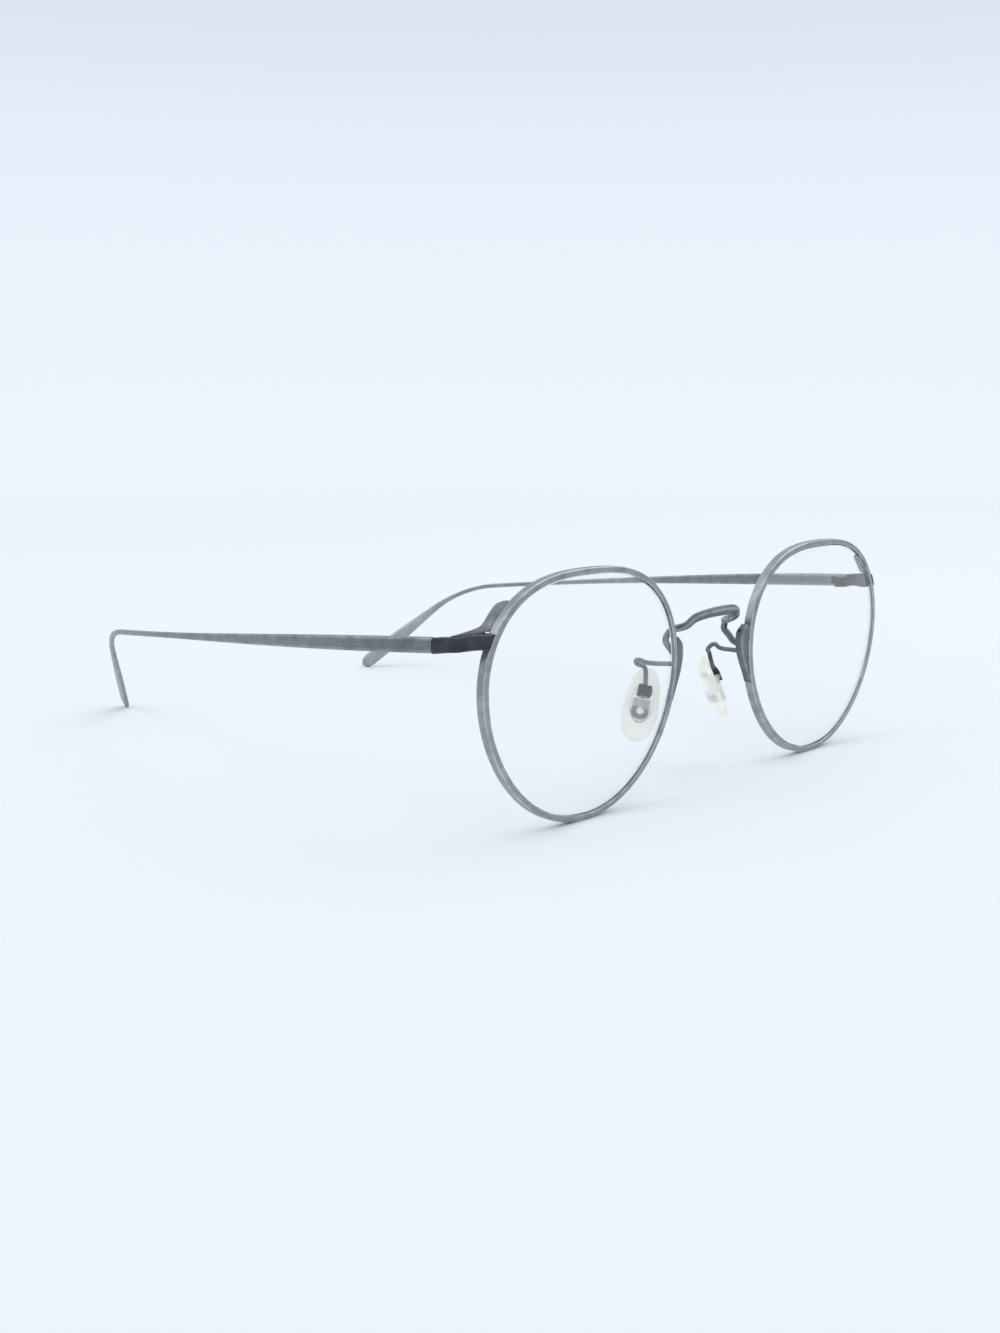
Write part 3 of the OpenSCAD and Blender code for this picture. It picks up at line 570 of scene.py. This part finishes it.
def plate_rings():
    q = np.linspace(0, 1, PLATE_STEPS)
    a = 180 - np.degrees(np.arcsin(mix(PLATE_TOP, -PLATE_FOOT, q) / (LENS_W / 2)))
    # It thickens quickly below its top and thins slowly towards its foot
    t = PLATE_TIP_T + PLATE_T * smooth((q + 0.12) / 0.3) * (1 - smooth((q - 0.25) / 0.8))
    turn = np.linspace(-90, 90, PLATE_SIDES)
    off = RIM_OUTER + TOUCH + t[:, None] * power(cos(turn), PLATE_FACE_ROUND)[None, :]
    depth = PLATE_HALF_D * power(sin(turn), PLATE_SIDE_ROUND)
    rings = on_rim(a[:, None], off, depth[None, :])
    edge = np.clip(1 - np.abs(np.abs(turn) - PLATE_WORN_AT) / PLATE_WORN_REACH, 0, 1) * PLATE_WORN
    return rings, np.broadcast_to(edge, rings.shape[:2])


# The nose pads, in a frame whose X points away from the nose and Z along the pad.
# Each layer is a share of the outline's size and of the thickness, from the crown to the back
PAD_LAYERS = [
    [0.004, 0], [0.2, 0.015], [0.4, 0.065], [0.6, 0.16], [0.8, 0.33], [0.93, 0.53], [0.995, 0.75],
    [0.985, 0.9], [0.9, 1],
]
# Each layer of the boss is a distance inside its outline and a place along X: it grows out of the pad in a
# hollow curve and has an eased edge
BOSS_LAYERS = [
    (-0.45, PAD_BACK_X), (-0.16, PAD_BACK_X + 0.05), (0, PAD_BACK_X + 0.2), (0, BOSS_X - BOSS_EDGE),
    (0.06, BOSS_X - 0.06), (BOSS_EDGE, BOSS_X), (BOSS_W / 2 - TOUCH, BOSS_X),
]
PAD_STEPS, PAD_SIDES, PAD_SHARP = 4, 96, 38
# Where the milk of the rim starts and over how much of the outline it grows, how the milk of the foot grows
# downwards, how much of the rim's milk the boss has, and how clear the hollow curve round the boss is
RIM_MILK_FROM, RIM_MILK_OVER, FOOT_MILK_GROWTH, FOOT_MILK_START = 0.7, 0.3, 1.2, 0.2
BOSS_RIM_MILK, HOLLOW_CLEAR = 0.1, 0.3
# Limits of the spaces cut out of a pad that aren't sizes of its parts: the cuts end behind the pad, the space
# for the core's plate lies inside the boss, and the one for its foot starts inside the plate's
BEHIND_PAD, PLATE_SPACE_LOW, PLATE_SPACE_HIGH, FOOT_SPACE_X = 3, -0.65, 2.9, -0.5


def on_pad(p):
    p = np.asarray(p, float)
    x = p[..., 0] * cos(PAD_SPLAY) + p[..., 1] * sin(PAD_SPLAY)
    y = p[..., 1] * cos(PAD_SPLAY) - p[..., 0] * sin(PAD_SPLAY)
    z = x * sin(PAD_SPREAD) + p[..., 2] * cos(PAD_SPREAD)
    x = x * cos(PAD_SPREAD) - p[..., 2] * sin(PAD_SPREAD)
    y, z = y * cos(PAD_LEAN) + z * sin(PAD_LEAN), z * cos(PAD_LEAN) - y * sin(PAD_LEAN)
    return place(PAD_CENTRE + vec(x, y, z))


def box(x0, x1, y0, y1, z0, z1):
    corners = np.array([[x, y, z] for x in (x0, x1) for y in (y0, y1) for z in (z0, z1)])
    faces = [[0, 1, 3, 2], [4, 6, 7, 5], [0, 4, 5, 1], [2, 3, 7, 6], [0, 2, 6, 4], [1, 5, 7, 3]]
    return corners, faces


def pad_rings():
    a = -360 * np.arange(PAD_SIDES) / PAD_SIDES
    outline = vec(
        0, PAD_W / 2 * power(cos(a), PAD_FULL) * (1 - PAD_EGG * sin(a)), PAD_L / 2 * power(sin(a), PAD_FULL)
    )
    # The marks for the milk at the rim and at the foot, and for the clear plastic over the core
    rings, edge, foot, clear = [], [], [], []
    for share, thick in curve(PAD_LAYERS, PAD_STEPS):
        rings.append(share * outline + [mix(PAD_BACK_X - PAD_T, PAD_BACK_X, thick), 0, 0])
        edge.append(np.full(PAD_SIDES, smooth((share - RIM_MILK_FROM) / RIM_MILK_OVER)))
        foot.append(smooth(-share * sin(a) * FOOT_MILK_GROWTH - FOOT_MILK_START))
        clear.append(np.zeros(PAD_SIDES))
    for inset, x in BOSS_LAYERS:
        rings.append(vec(x, (BOSS_W / 2 - inset) * cos(a), BOSS_Z + (BOSS_L / 2 - inset) * sin(a)))
        edge.append(np.full(PAD_SIDES, BOSS_RIM_MILK))
        foot.append(np.zeros(PAD_SIDES))
        clear.append(np.full(PAD_SIDES, 1.0 if inset >= 0 else HOLLOW_CLEAR))
    return np.array(rings), [("edge", flat(edge)), ("foot", flat(foot)), ("clear", flat(clear))]


def pad_spaces():
    """Limits of the boxes cut out of a pad: its pocket, the pocket's mouth, and its core's plate and foot."""
    pocket, plate, foot = POCKET_W / 2, CORE_W / 2 + TOUCH, FOOT_W / 2 + TOUCH
    core_front, core_back = POCKET_X - CORE_T - TOUCH, POCKET_X + TOUCH
    return [
        (POCKET_X - TOUCH, BEHIND_PAD, -pocket, pocket, PIN_Z - POCKET_H / 2, PIN_Z + POCKET_H / 2),
        (BOX_FRONT_X, BEHIND_PAD, -pocket, pocket, PIN_Z, PIN_Z + POCKET_H),
        (core_front, core_back, -plate, plate, PLATE_SPACE_LOW, PLATE_SPACE_HIGH),
        (FOOT_SPACE_X, FOOT_X + TOUCH, -foot, foot, FOOT_LOW_Z - TOUCH, FOOT_HIGH_Z + TOUCH),
    ]


def cut_box(obj, side, limits):
    corners, faces = box(*limits)
    mesh = bpy.data.meshes.new("space")
    mesh.from_pydata([tuple(p) for p in on_pad(corners) * [side, 1, 1] * MM], [], faces)
    cutter = bpy.data.objects.new("space", mesh)
    bpy.context.scene.collection.objects.link(cutter)
    cut = obj.modifiers.new("space", "BOOLEAN")
    cut.object = cutter
    cut.operation = "DIFFERENCE"
    cut.solver = "EXACT"
    bpy.context.view_layer.update()
    made = bpy.data.meshes.new_from_object(obj.evaluated_get(bpy.context.evaluated_depsgraph_get()))
    obj.modifiers.clear()
    obj.data = made
    bpy.data.objects.remove(cutter)


def pad(side, word):
    rings, attributes = pad_rings()
    faces, uvs = ring_faces(rings)
    world = on_pad(rings.reshape(-1, 3)) * [side, 1, 1]
    obj = add_mesh(
        word + "_pad_moulding", world, faces, uvs, IVORY, "pad_" + word, [word + "_nose_pad"],
        attributes,
    )
    for limits in pad_spaces():
        cut_box(obj, side, limits)
    obj.data.set_sharp_from_angle(angle=math.radians(PAD_SHARP))


# The pad arms
ARM_FRONT = [
    [10.1, 1.5, 1.15], [10.45, 3.6, 1.1], [11.05, 5.9, 0.95], [11.7, 7.6, 1.0], [12.25, 8.8, 1.4],
    [12.2, 9.65, 1.15], [11.4, 9.95, 0.4],
]
ARM_DOWN = [[1.5, 0.9, 6.5], [1.2, 0.35, 5], [1.05, 0.05, 3.15]]
ARM_STEPS, ARM_SIDES = 12, 20
SOLDER_START, SOLDER_REACH, SOLDER_SWELL = 0.2, 0.35, 0.35


def arm_rings():
    path = curve(np.vstack([place(ARM_FRONT), on_pad(ARM_DOWN)]), ARM_STEPS)
    # A little solder swells the wire where it meets the plate
    past_solder = np.maximum(0, path[:, 1] - path[0, 1] - SOLDER_START)
    swell = 1 + SOLDER_SWELL * np.exp(-past_solder / SOLDER_REACH)
    sizes = ARM_D * np.stack([swell, swell], -1)
    return bar_rings(path, sizes, np.broadcast_to([1.0, 0, 0], path.shape), ARM_SIDES, 1)


# The endpieces. Distances run back from the rim's middle surface at the lock
LOCK_POINT = on_rim(np.array(LOCK_ANGLE), 0, 0)
JOINT_Y = LOCK_POINT[1] + ENDPIECE_L
HINGE_Z = LOCK_POINT[2] - ENDPIECE_L * math.tan(math.radians(ENDPIECE_FALL))
TEMPLE_X = HINGE_SPAN / 2 - BAR_T / 2
BAR_FRONT = -RIM_HALF_D
BAR_END = ENDPIECE_L - JOINT_GAP / 2
BAR_ANGLE = math.degrees(BAR_H * BAR_TAPER / 2 / (outline_r(LOCK_ANGLE) * cos(LOCK_ANGLE)))
FACE_OFF = RIM_OUTER + TOUCH
# Steps along and across the bar, the share of its half height that each rounded edge takes, and how its outer
# face is eased near its two ends
BAR_STEPS, BAR_FLAT_ROWS, BAR_EDGE_STEPS, BAR_EDGE_SHARE = 44, (-0.6, -0.3, 0, 0.3, 0.6), 6, 0.15
EASE, EASE_FRONT_L, EASE_BACK_L, EASE_BACK_SHARE = 0.12, 0.3, 0.12, 0.6
# The wing's steps and sides, how square its section is, its half thickness at its root and above, its lift
# off the bar, and the stations of two first sections that lie inside the bar
WING_STEPS, WING_SIDES, WING_CORNER = 70, 40, 0.45
WING_ROOT_HALF_T, WING_HALF_T, WING_LIFT = 0.42, 0.45, 0.5
WING_INSIDE = (-0.05, -0.025)
WING_FRONT = RIM_HALF_D + WING_GAP
# Share of the wing's length at which its end starts to round off, and the smallest square of its width there
WING_ROUND, WING_BLUNT = 0.92, 0.004
# Where along the wing its worn corners and its painted sheen, which lightens its lit face, start, and over
# how much of it they grow
WING_WORN_FROM, WING_WORN_OVER, WING_SHEEN_FROM, WING_SHEEN_OVER = 0.1, 0.2, -0.03, 0.12


def bar_outer(d):
    q = 1 - np.minimum(1, (d - BAR_FRONT) / BAR_SWING)
    return mix(FACE_OFF + BAR_NOSE_T, TEMPLE_X + BAR_T / 2 - LOCK_POINT[0], 1 - q * q)


def bar_inner(d):
    thickness = mix(BAR_ROOT_T, BAR_T, smooth((d - RIM_HALF_D) / BAR_ROOT_L))
    return np.maximum(FACE_OFF, bar_outer(d) - thickness)


def bar_point(a, d, off):
    """A point of the bar, which follows the rim at the front and stands upright at the hinge."""
    p = on_rim(a, np.minimum(off, FACE_OFF), d)
    x = p[..., 0] + np.maximum(0, off - FACE_OFF)
    q = smooth((d - RIM_HALF_D) / UPRIGHT_L)
    rise = (on_rim(a, 0, 0)[..., 2] - LOCK_POINT[2]) * mix(1, 1 / BAR_TAPER, (d - BAR_FRONT) / ENDPIECE_L)
    fall = ENDPIECE_L * math.tan(math.radians(ENDPIECE_FALL)) * (np.maximum(0, d) / ENDPIECE_L) ** 2
    return vec(
        mix(x, LOCK_POINT[0] + off, q),
        mix(p[..., 1], LOCK_POINT[1] + d, q),
        mix(p[..., 2], LOCK_POINT[2] + rise, q) - fall,
    )


def bar_form():
    d = np.linspace(BAR_FRONT, BAR_END, BAR_STEPS)
    upper = [(1 - BAR_EDGE_SHARE * (1 - sin(t)), 1 - cos(t)) for t in np.linspace(0, 90, BAR_EDGE_STEPS)]
    rows = [(-k, s) for k, s in upper[::-1]] + [(k, 0) for k in BAR_FLAT_ROWS] + upper
    front_ease = smooth(1 - (d - BAR_FRONT) / EASE_FRONT_L)
    back_ease = smooth(1 - (BAR_END - d) / EASE_BACK_L) * EASE_BACK_SHARE
    rings, edge = [], []
    for k, s in rows:
        a = LOCK_ANGLE + k * BAR_ANGLE
        outer = bar_point(a, d, bar_outer(d) - s * BAR_EDGE - EASE * (front_ease + back_ease))
        inner = bar_point(a, d[::-1], bar_inner(d[::-1]))
        rings.append(np.vstack([outer, inner]))
        row = 1 - abs(2 * s - 1) if 0 < s < 1 else 0.0
        edge.append(np.concatenate([np.full(BAR_STEPS, row), np.zeros(BAR_STEPS)]))
    return np.array(rings), np.array(edge), np.zeros((len(rings), len(rings[0])))


def wing_form():
    """The wing rises from the bar and runs up close behind the rim to a round end; its lit face is painted
    paler.
    """
    start = LOCK_ANGLE + BAR_ANGLE + WING_LIFT
    turn = ring_turns(WING_SIDES)
    u, way = power(cos(turn), WING_CORNER), power(sin(turn), WING_CORNER)
    rings, edge, pale = [], [], []
    for q in np.concatenate([WING_INSIDE, np.linspace(0, 1, WING_STEPS) ** WING_SPACING]):
        rise = max(q, 0)
        turned = 1 - math.exp(-WING_TURN_RATE * rise)
        past_round = max(0, q - WING_ROUND) / (1 - WING_ROUND)
        span = math.sqrt(max(WING_BLUNT, 1 - past_round ** 2))
        back = mix(WING_ROOT_BACK, WING_BACK, 1 - math.exp(-WING_BACK_RATE * rise))
        d = (WING_FRONT + back) / 2 + (back - WING_FRONT) / 2 * span * u
        a = mix(start, WING_END, q) - WING_SLOPE * (d - WING_FRONT) * rise
        root = bar_point(a, d, bar_inner(d) + WING_ROOT_OFF + way * WING_ROOT_HALF_T)
        flare = WING_FLARE * ((d - WING_FRONT) / (WING_BACK - WING_FRONT)) ** 2 * turned
        above = on_rim(a, WING_OFF + way * WING_HALF_T + flare, d)
        rings.append(mix(root, above, turned))
        edge.append(near_corner(turn) * smooth((q - WING_WORN_FROM) / WING_WORN_OVER))
        # Painted sheen: the wing's face that meets the light is painted paler than the bar
        pale.append(np.full(WING_SIDES, smooth((q - WING_SHEEN_FROM) / WING_SHEEN_OVER)))
    return np.array(rings), np.array(edge), np.array(pale)


# The temples
BEND_ANGLE = math.degrees(math.acos(cos(BEND_DOWN) * cos(BEND_IN)))
BEND_L = BEND_R * math.radians(BEND_ANGLE)
TEMPLE_STEPS, TEMPLE_SIDES, TEMPLE_CORNER, TEMPLE_WORN = 260, 36, 0.5, 0.7
# The tip's end is rounder than the solid's and a little shorter, so that it stays inside the solid's box
ROUND_L, TIP_CUT = 2.5, 0.45
TIP_THINNING = 0.6
# How much painted sheen lightens the temple's darker colour over its first third, and again beyond its middle
# towards the tip
SHAFT_SHEEN, TIP_SHEEN = 0.17, 0.18
# First guesses of the shaft's slope at its root, and how near the table the tip has to come, in millimetres
SLOPE_GUESSES, RESTING_WITHIN, RESTING_TRIES = (3.0, 5.0), 1e-6, 6


def temple_heading(s, fall):
    shaft, bend = np.minimum(1, s / SHAFT_L), np.clip((s - SHAFT_L) / BEND_L, 0, 1)
    inwards = -SHAFT_OUT + SHAFT_BOW * shaft + BEND_IN * bend
    down = fall + SHAFT_SAG * shaft + BEND_DOWN * bend
    return vec(-sin(inwards) * cos(down), cos(inwards) * cos(down), -sin(down))


def temple_rings(fall):
    length = TEMPLE_L - TIP_CUT
    step = (length - TEMPLE_ROOT) / TEMPLE_STEPS
    mid = TEMPLE_ROOT + (np.arange(TEMPLE_STEPS) + 0.5) * step
    start = np.array([TEMPLE_X, JOINT_Y + JOINT_GAP / 2, HINGE_Z])
    root = start + [0, TEMPLE_ROOT, 0]
    path = np.vstack([start, root, root + np.cumsum(temple_heading(mid, fall) * step, axis=0)])
    s = np.concatenate([[0], TEMPLE_ROOT + np.arange(TEMPLE_STEPS + 1) * step])
    end = np.sqrt(np.maximum(END_BLUNT, 1 - (np.maximum(s - length + ROUND_L, 0) / ROUND_L) ** 2))
    taper = smooth((s - TAPER_START) / (TAPER_END - TAPER_START))
    widen = smooth((s - WIDEN_START) / (WIDEN_END - WIDEN_START))
    wide = mix(mix(BAR_H, THIN_H, taper), TIP_W, widen) * end
    thick = mix(mix(BAR_T, THIN_T, taper), TIP_T, widen) * mix(1, end, TIP_THINNING)
    across = np.cross([1.0, 0, 0], temple_heading(s, fall))
    return bar_rings(path, np.stack([wide, thick], -1), across, TEMPLE_SIDES, TEMPLE_CORNER)


def resting_fall():
    """The shaft's slope at its root with which the tip just touches the table."""
    a, b = SLOPE_GUESSES
    for _ in range(RESTING_TRIES):
        low_a, low_b = (temple_rings(fall)[..., 2].min() for fall in (a, b))
        if abs(low_b) < RESTING_WITHIN:
            break
        a, b = b, b - low_b * (b - a) / (low_b - low_a)
    return b


def temple_marks(rings):
    """Where the temple is worn, and how pale it is painted: painted shade at its root gives way to painted
    sheen towards its tip.
    """
    edge = np.broadcast_to(near_corner(ring_turns(TEMPLE_SIDES)) * TEMPLE_WORN, rings.shape[:2])
    along = np.linspace(0, 1, len(rings))[:, None]
    pale = SHAFT_SHEEN * smooth(along / 0.3) + TIP_SHEEN * smooth((along - 0.5) / 0.35)
    return edge, np.broadcast_to(pale, rings.shape[:2])


# The pieces of both halves, and the bridge between them
SIDES = ((1, "left"), (-1, "right"))
rim, rim_edge = rim_rings()
lens = lens_rings()
plate, plate_edge = plate_rings()
arm = arm_rings()
endpiece, endpiece_edge, endpiece_sheen = zip(bar_form(), wing_form())
temple = temple_rings(resting_fall())
temple_edge, temple_sheen = temple_marks(temple)
bridge, bridge_edge = bridge_rings()
for side, word in SIDES:
    skin(word + "_rim_wire", side, [rim], PEWTER, "front", [word + "_rim"], [rim_edge])
    skin(word + "_lens_disc", side, [lens], CLEAR, "front", [word + "_lens"], sharp=25)
    skin(
        word + "_nasal_plate_form", side, [plate], BRIDGE, "front", [word + "_nasal_plate"],
        [plate_edge],
    )
    skin(word + "_arm_wire", side, [arm], BRIDGE, "front", [word + "_pad_arm"])
    # The endpiece is painted darker, partly as painted shade, and its wing paler as painted sheen
    skin(
        word + "_endpiece_form", side, endpiece, DARK, "front", [word + "_endpiece"],
        endpiece_edge, sharp=50, pale=endpiece_sheen,
    )
    skin(
        word + "_temple_bar", side, [temple], SHAFT, "temple_" + word, [word + "_temple"],
        [temple_edge], pale=[temple_sheen],
    )
    pad(side, word)
skin("bridge_ribbon", 1, [bridge], BRIDGE, "front", ["bridge"], [bridge_edge])

# The small CAD solids keep their shape, with eased edges
SMALL = {
    "pad_box": DARK_CAST, "pad_screw": STEEL, "pad_core": BRIDGE,
    "rim_lock_upper": DARK_CAST, "rim_lock_lower": DARK_CAST, "rim_lock_screw": STEEL,
    "front_hinge_leaf": DARK_CAST, "temple_hinge_leaf": DARK_CAST, "hinge_screw": STEEL,
}
WELD_REACH, EASED_W, EASED_ANGLE = 0.000001, 0.00005, 40
for kind, material in SMALL.items():
    for _, word in SIDES:
        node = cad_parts[word + "_" + kind]
        if not node.material_slots:
            node.data.materials.append(material)
        for held in node.material_slots:
            held.material = material
        weld = node.modifiers.new("weld", "WELD")
        weld.merge_threshold = WELD_REACH
        ease = node.modifiers.new("ease", "BEVEL")
        ease.width = EASED_W
        ease.segments = 2
        ease.limit_method = "ANGLE"
        ease.angle_limit = math.radians(EASED_ANGLE)

# The floor, which keeps the shadow and fades into the backdrop far from the object, in metres
FLOOR, HORIZON = (0.805, 0.873, 0.94), (0.829, 0.911, 0.983)
FLOOR_RADII, FLOOR_SIDES = (0.25, 0.6, 1.2, 2.5, 6.0), 72
FADE_START, FADE_END = 0.3, 0.95


def disc(radii, sides):
    turns = [math.radians(360 * i / sides) for i in range(sides)]
    points = [(0, 0, 0)] + [(r * math.cos(t), r * math.sin(t), 0) for r in radii for t in turns]
    faces = [(0, 1 + i, 1 + (i + 1) % sides) for i in range(sides)]
    for ring in range(len(radii) - 1):
        inner, outer = 1 + ring * sides, 1 + (ring + 1) * sides
        for i in range(sides):
            after = (i + 1) % sides
            faces.append((inner + i, outer + i, outer + after, inner + after))
    return points, faces


def floor_material():
    m, n, k, shader = nodes_of("pale_floor")
    n.remove(shader)
    where = n.new("ShaderNodeTexCoord")
    distance = n.new("ShaderNodeVectorMath")
    distance.operation = "LENGTH"
    k.new(where.outputs["Object"], distance.inputs[0])
    diffuse = n.new("ShaderNodeBsdfDiffuse")
    cloud = noise(n, k, where.outputs["Object"], 4, 2)
    dimmer = tuple(c * 0.992 for c in FLOOR)
    k.new(ramp(n, k, cloud, ((0.3, dimmer), (0.7, FLOOR))), diffuse.inputs["Color"])
    glow = n.new("ShaderNodeEmission")
    glow.inputs["Color"].default_value = (*HORIZON, 1)
    fade = map_range(n, k, distance.outputs["Value"], FADE_START, FADE_END, 0, 1)
    surface = mix_shaders(n, k, fade, diffuse.outputs["BSDF"], glow.outputs["Emission"])
    k.new(surface, n["Material Output"].inputs["Surface"])
    return m


floor_points, floor_faces = disc(FLOOR_RADII, FLOOR_SIDES)
floor_mesh = bpy.data.meshes.new("floor")
floor_mesh.from_pydata(floor_points, [], floor_faces)
floor_mesh.materials.append(floor_material())
floor = bpy.data.objects.new("floor", floor_mesh)
bpy.context.scene.collection.objects.link(floor)

# The world: an even light, a softly shaded surrounding for gloss, and a pale backdrop.
# The surrounding and the backdrop are shaded by height, from LOW to HIGH
AMBIENT = 0.9
SURROUND_LOW, SURROUND_HIGH, BACKDROP_LOW, BACKDROP_HIGH = -0.2, 1, 0, 0.3
SURROUND = ((0.1, (0.5, 0.53, 0.57)), (0.35, (0.72, 0.76, 0.8)), (0.8, (1.0, 1.0, 1.0)))
BACKDROP = (
    (0.0, HORIZON),
    (0.41, (0.807, 0.888, 0.973)),
    (0.61, (0.776, 0.847, 0.93)),
    (0.8, (0.708, 0.784, 0.863)),
)


def studio():
    world = bpy.data.worlds.new("studio")
    world.use_nodes = True
    n, k = world.node_tree.nodes, world.node_tree.links
    n.clear()
    where = n.new("ShaderNodeTexCoord")
    split = n.new("ShaderNodeSeparateXYZ")
    k.new(where.outputs["Generated"], split.inputs[0])
    height = split.outputs["Z"]
    light = n.new("ShaderNodeBackground")
    light.inputs["Color"].default_value = (AMBIENT, AMBIENT, AMBIENT, 1)
    around = n.new("ShaderNodeBackground")
    share = map_range(n, k, height, SURROUND_LOW, SURROUND_HIGH, 0, 1)
    k.new(ramp(n, k, share, SURROUND), around.inputs["Color"])
    backdrop = n.new("ShaderNodeBackground")
    share = map_range(n, k, height, BACKDROP_LOW, BACKDROP_HIGH, 0, 1)
    k.new(ramp(n, k, share, BACKDROP), backdrop.inputs["Color"])
    path = n.new("ShaderNodeLightPath")
    seen = combine(n, k, path.outputs["Is Camera Ray"], path.outputs["Is Transmission Ray"], "MAXIMUM")
    lit = mix_shaders(n, k, path.outputs["Is Glossy Ray"], light.outputs[0], around.outputs[0])
    out = n.new("ShaderNodeOutputWorld")
    k.new(mix_shaders(n, k, seen, lit, backdrop.outputs[0]), out.inputs["Surface"])
    return world


def lamp(name, at, size, power_w):
    data = bpy.data.lights.new(name, "AREA")
    data.shape = "DISK"
    data.size = size
    data.energy = power_w
    obj = bpy.data.objects.new(name, data)
    bpy.context.scene.collection.objects.link(obj)
    obj.location = at
    obj.rotation_euler = Vector(at).to_track_quat("Z", "Y").to_euler()


bpy.context.scene.world = studio()
lamp("key", (0.55, -0.15, 0.95), size=0.9, power_w=1.8)
lamp("fill", (-0.7, 0.5, 0.8), size=0.7, power_w=1.2)

# The camera, from the view fitted to the photograph. Its place is given as in place()
CAMERA_AT = (-219.16, -153.75, 46.51)
YAW, PITCH, ROLL = -46.421, 10.05, -0.067
IMAGE_LONG_SIDE, FOCAL_PIXELS, SENSOR = 1333, 1460.6, 36
forward = np.array([-sin(YAW) * cos(PITCH), cos(YAW) * cos(PITCH), -sin(PITCH)])
level = np.array([cos(YAW), sin(YAW), 0])
plumb = np.cross(forward, level)
right = cos(ROLL) * level + sin(ROLL) * plumb
down = -sin(ROLL) * level + cos(ROLL) * plumb
camera_data = bpy.data.cameras.new("camera")
camera_data.sensor_width = SENSOR
camera_data.lens = FOCAL_PIXELS * SENSOR / IMAGE_LONG_SIDE
camera_data.clip_start, camera_data.clip_end = 0.01, 20
camera = bpy.data.objects.new("camera", camera_data)
bpy.context.scene.collection.objects.link(camera)
turned = Matrix(np.column_stack([right, -down, -forward]).tolist())
camera.matrix_world = Matrix.Translation((place(CAMERA_AT) * MM).tolist()) @ turned.to_4x4()
bpy.context.scene.camera = camera
bpy.context.scene.view_settings.view_transform = "Standard"
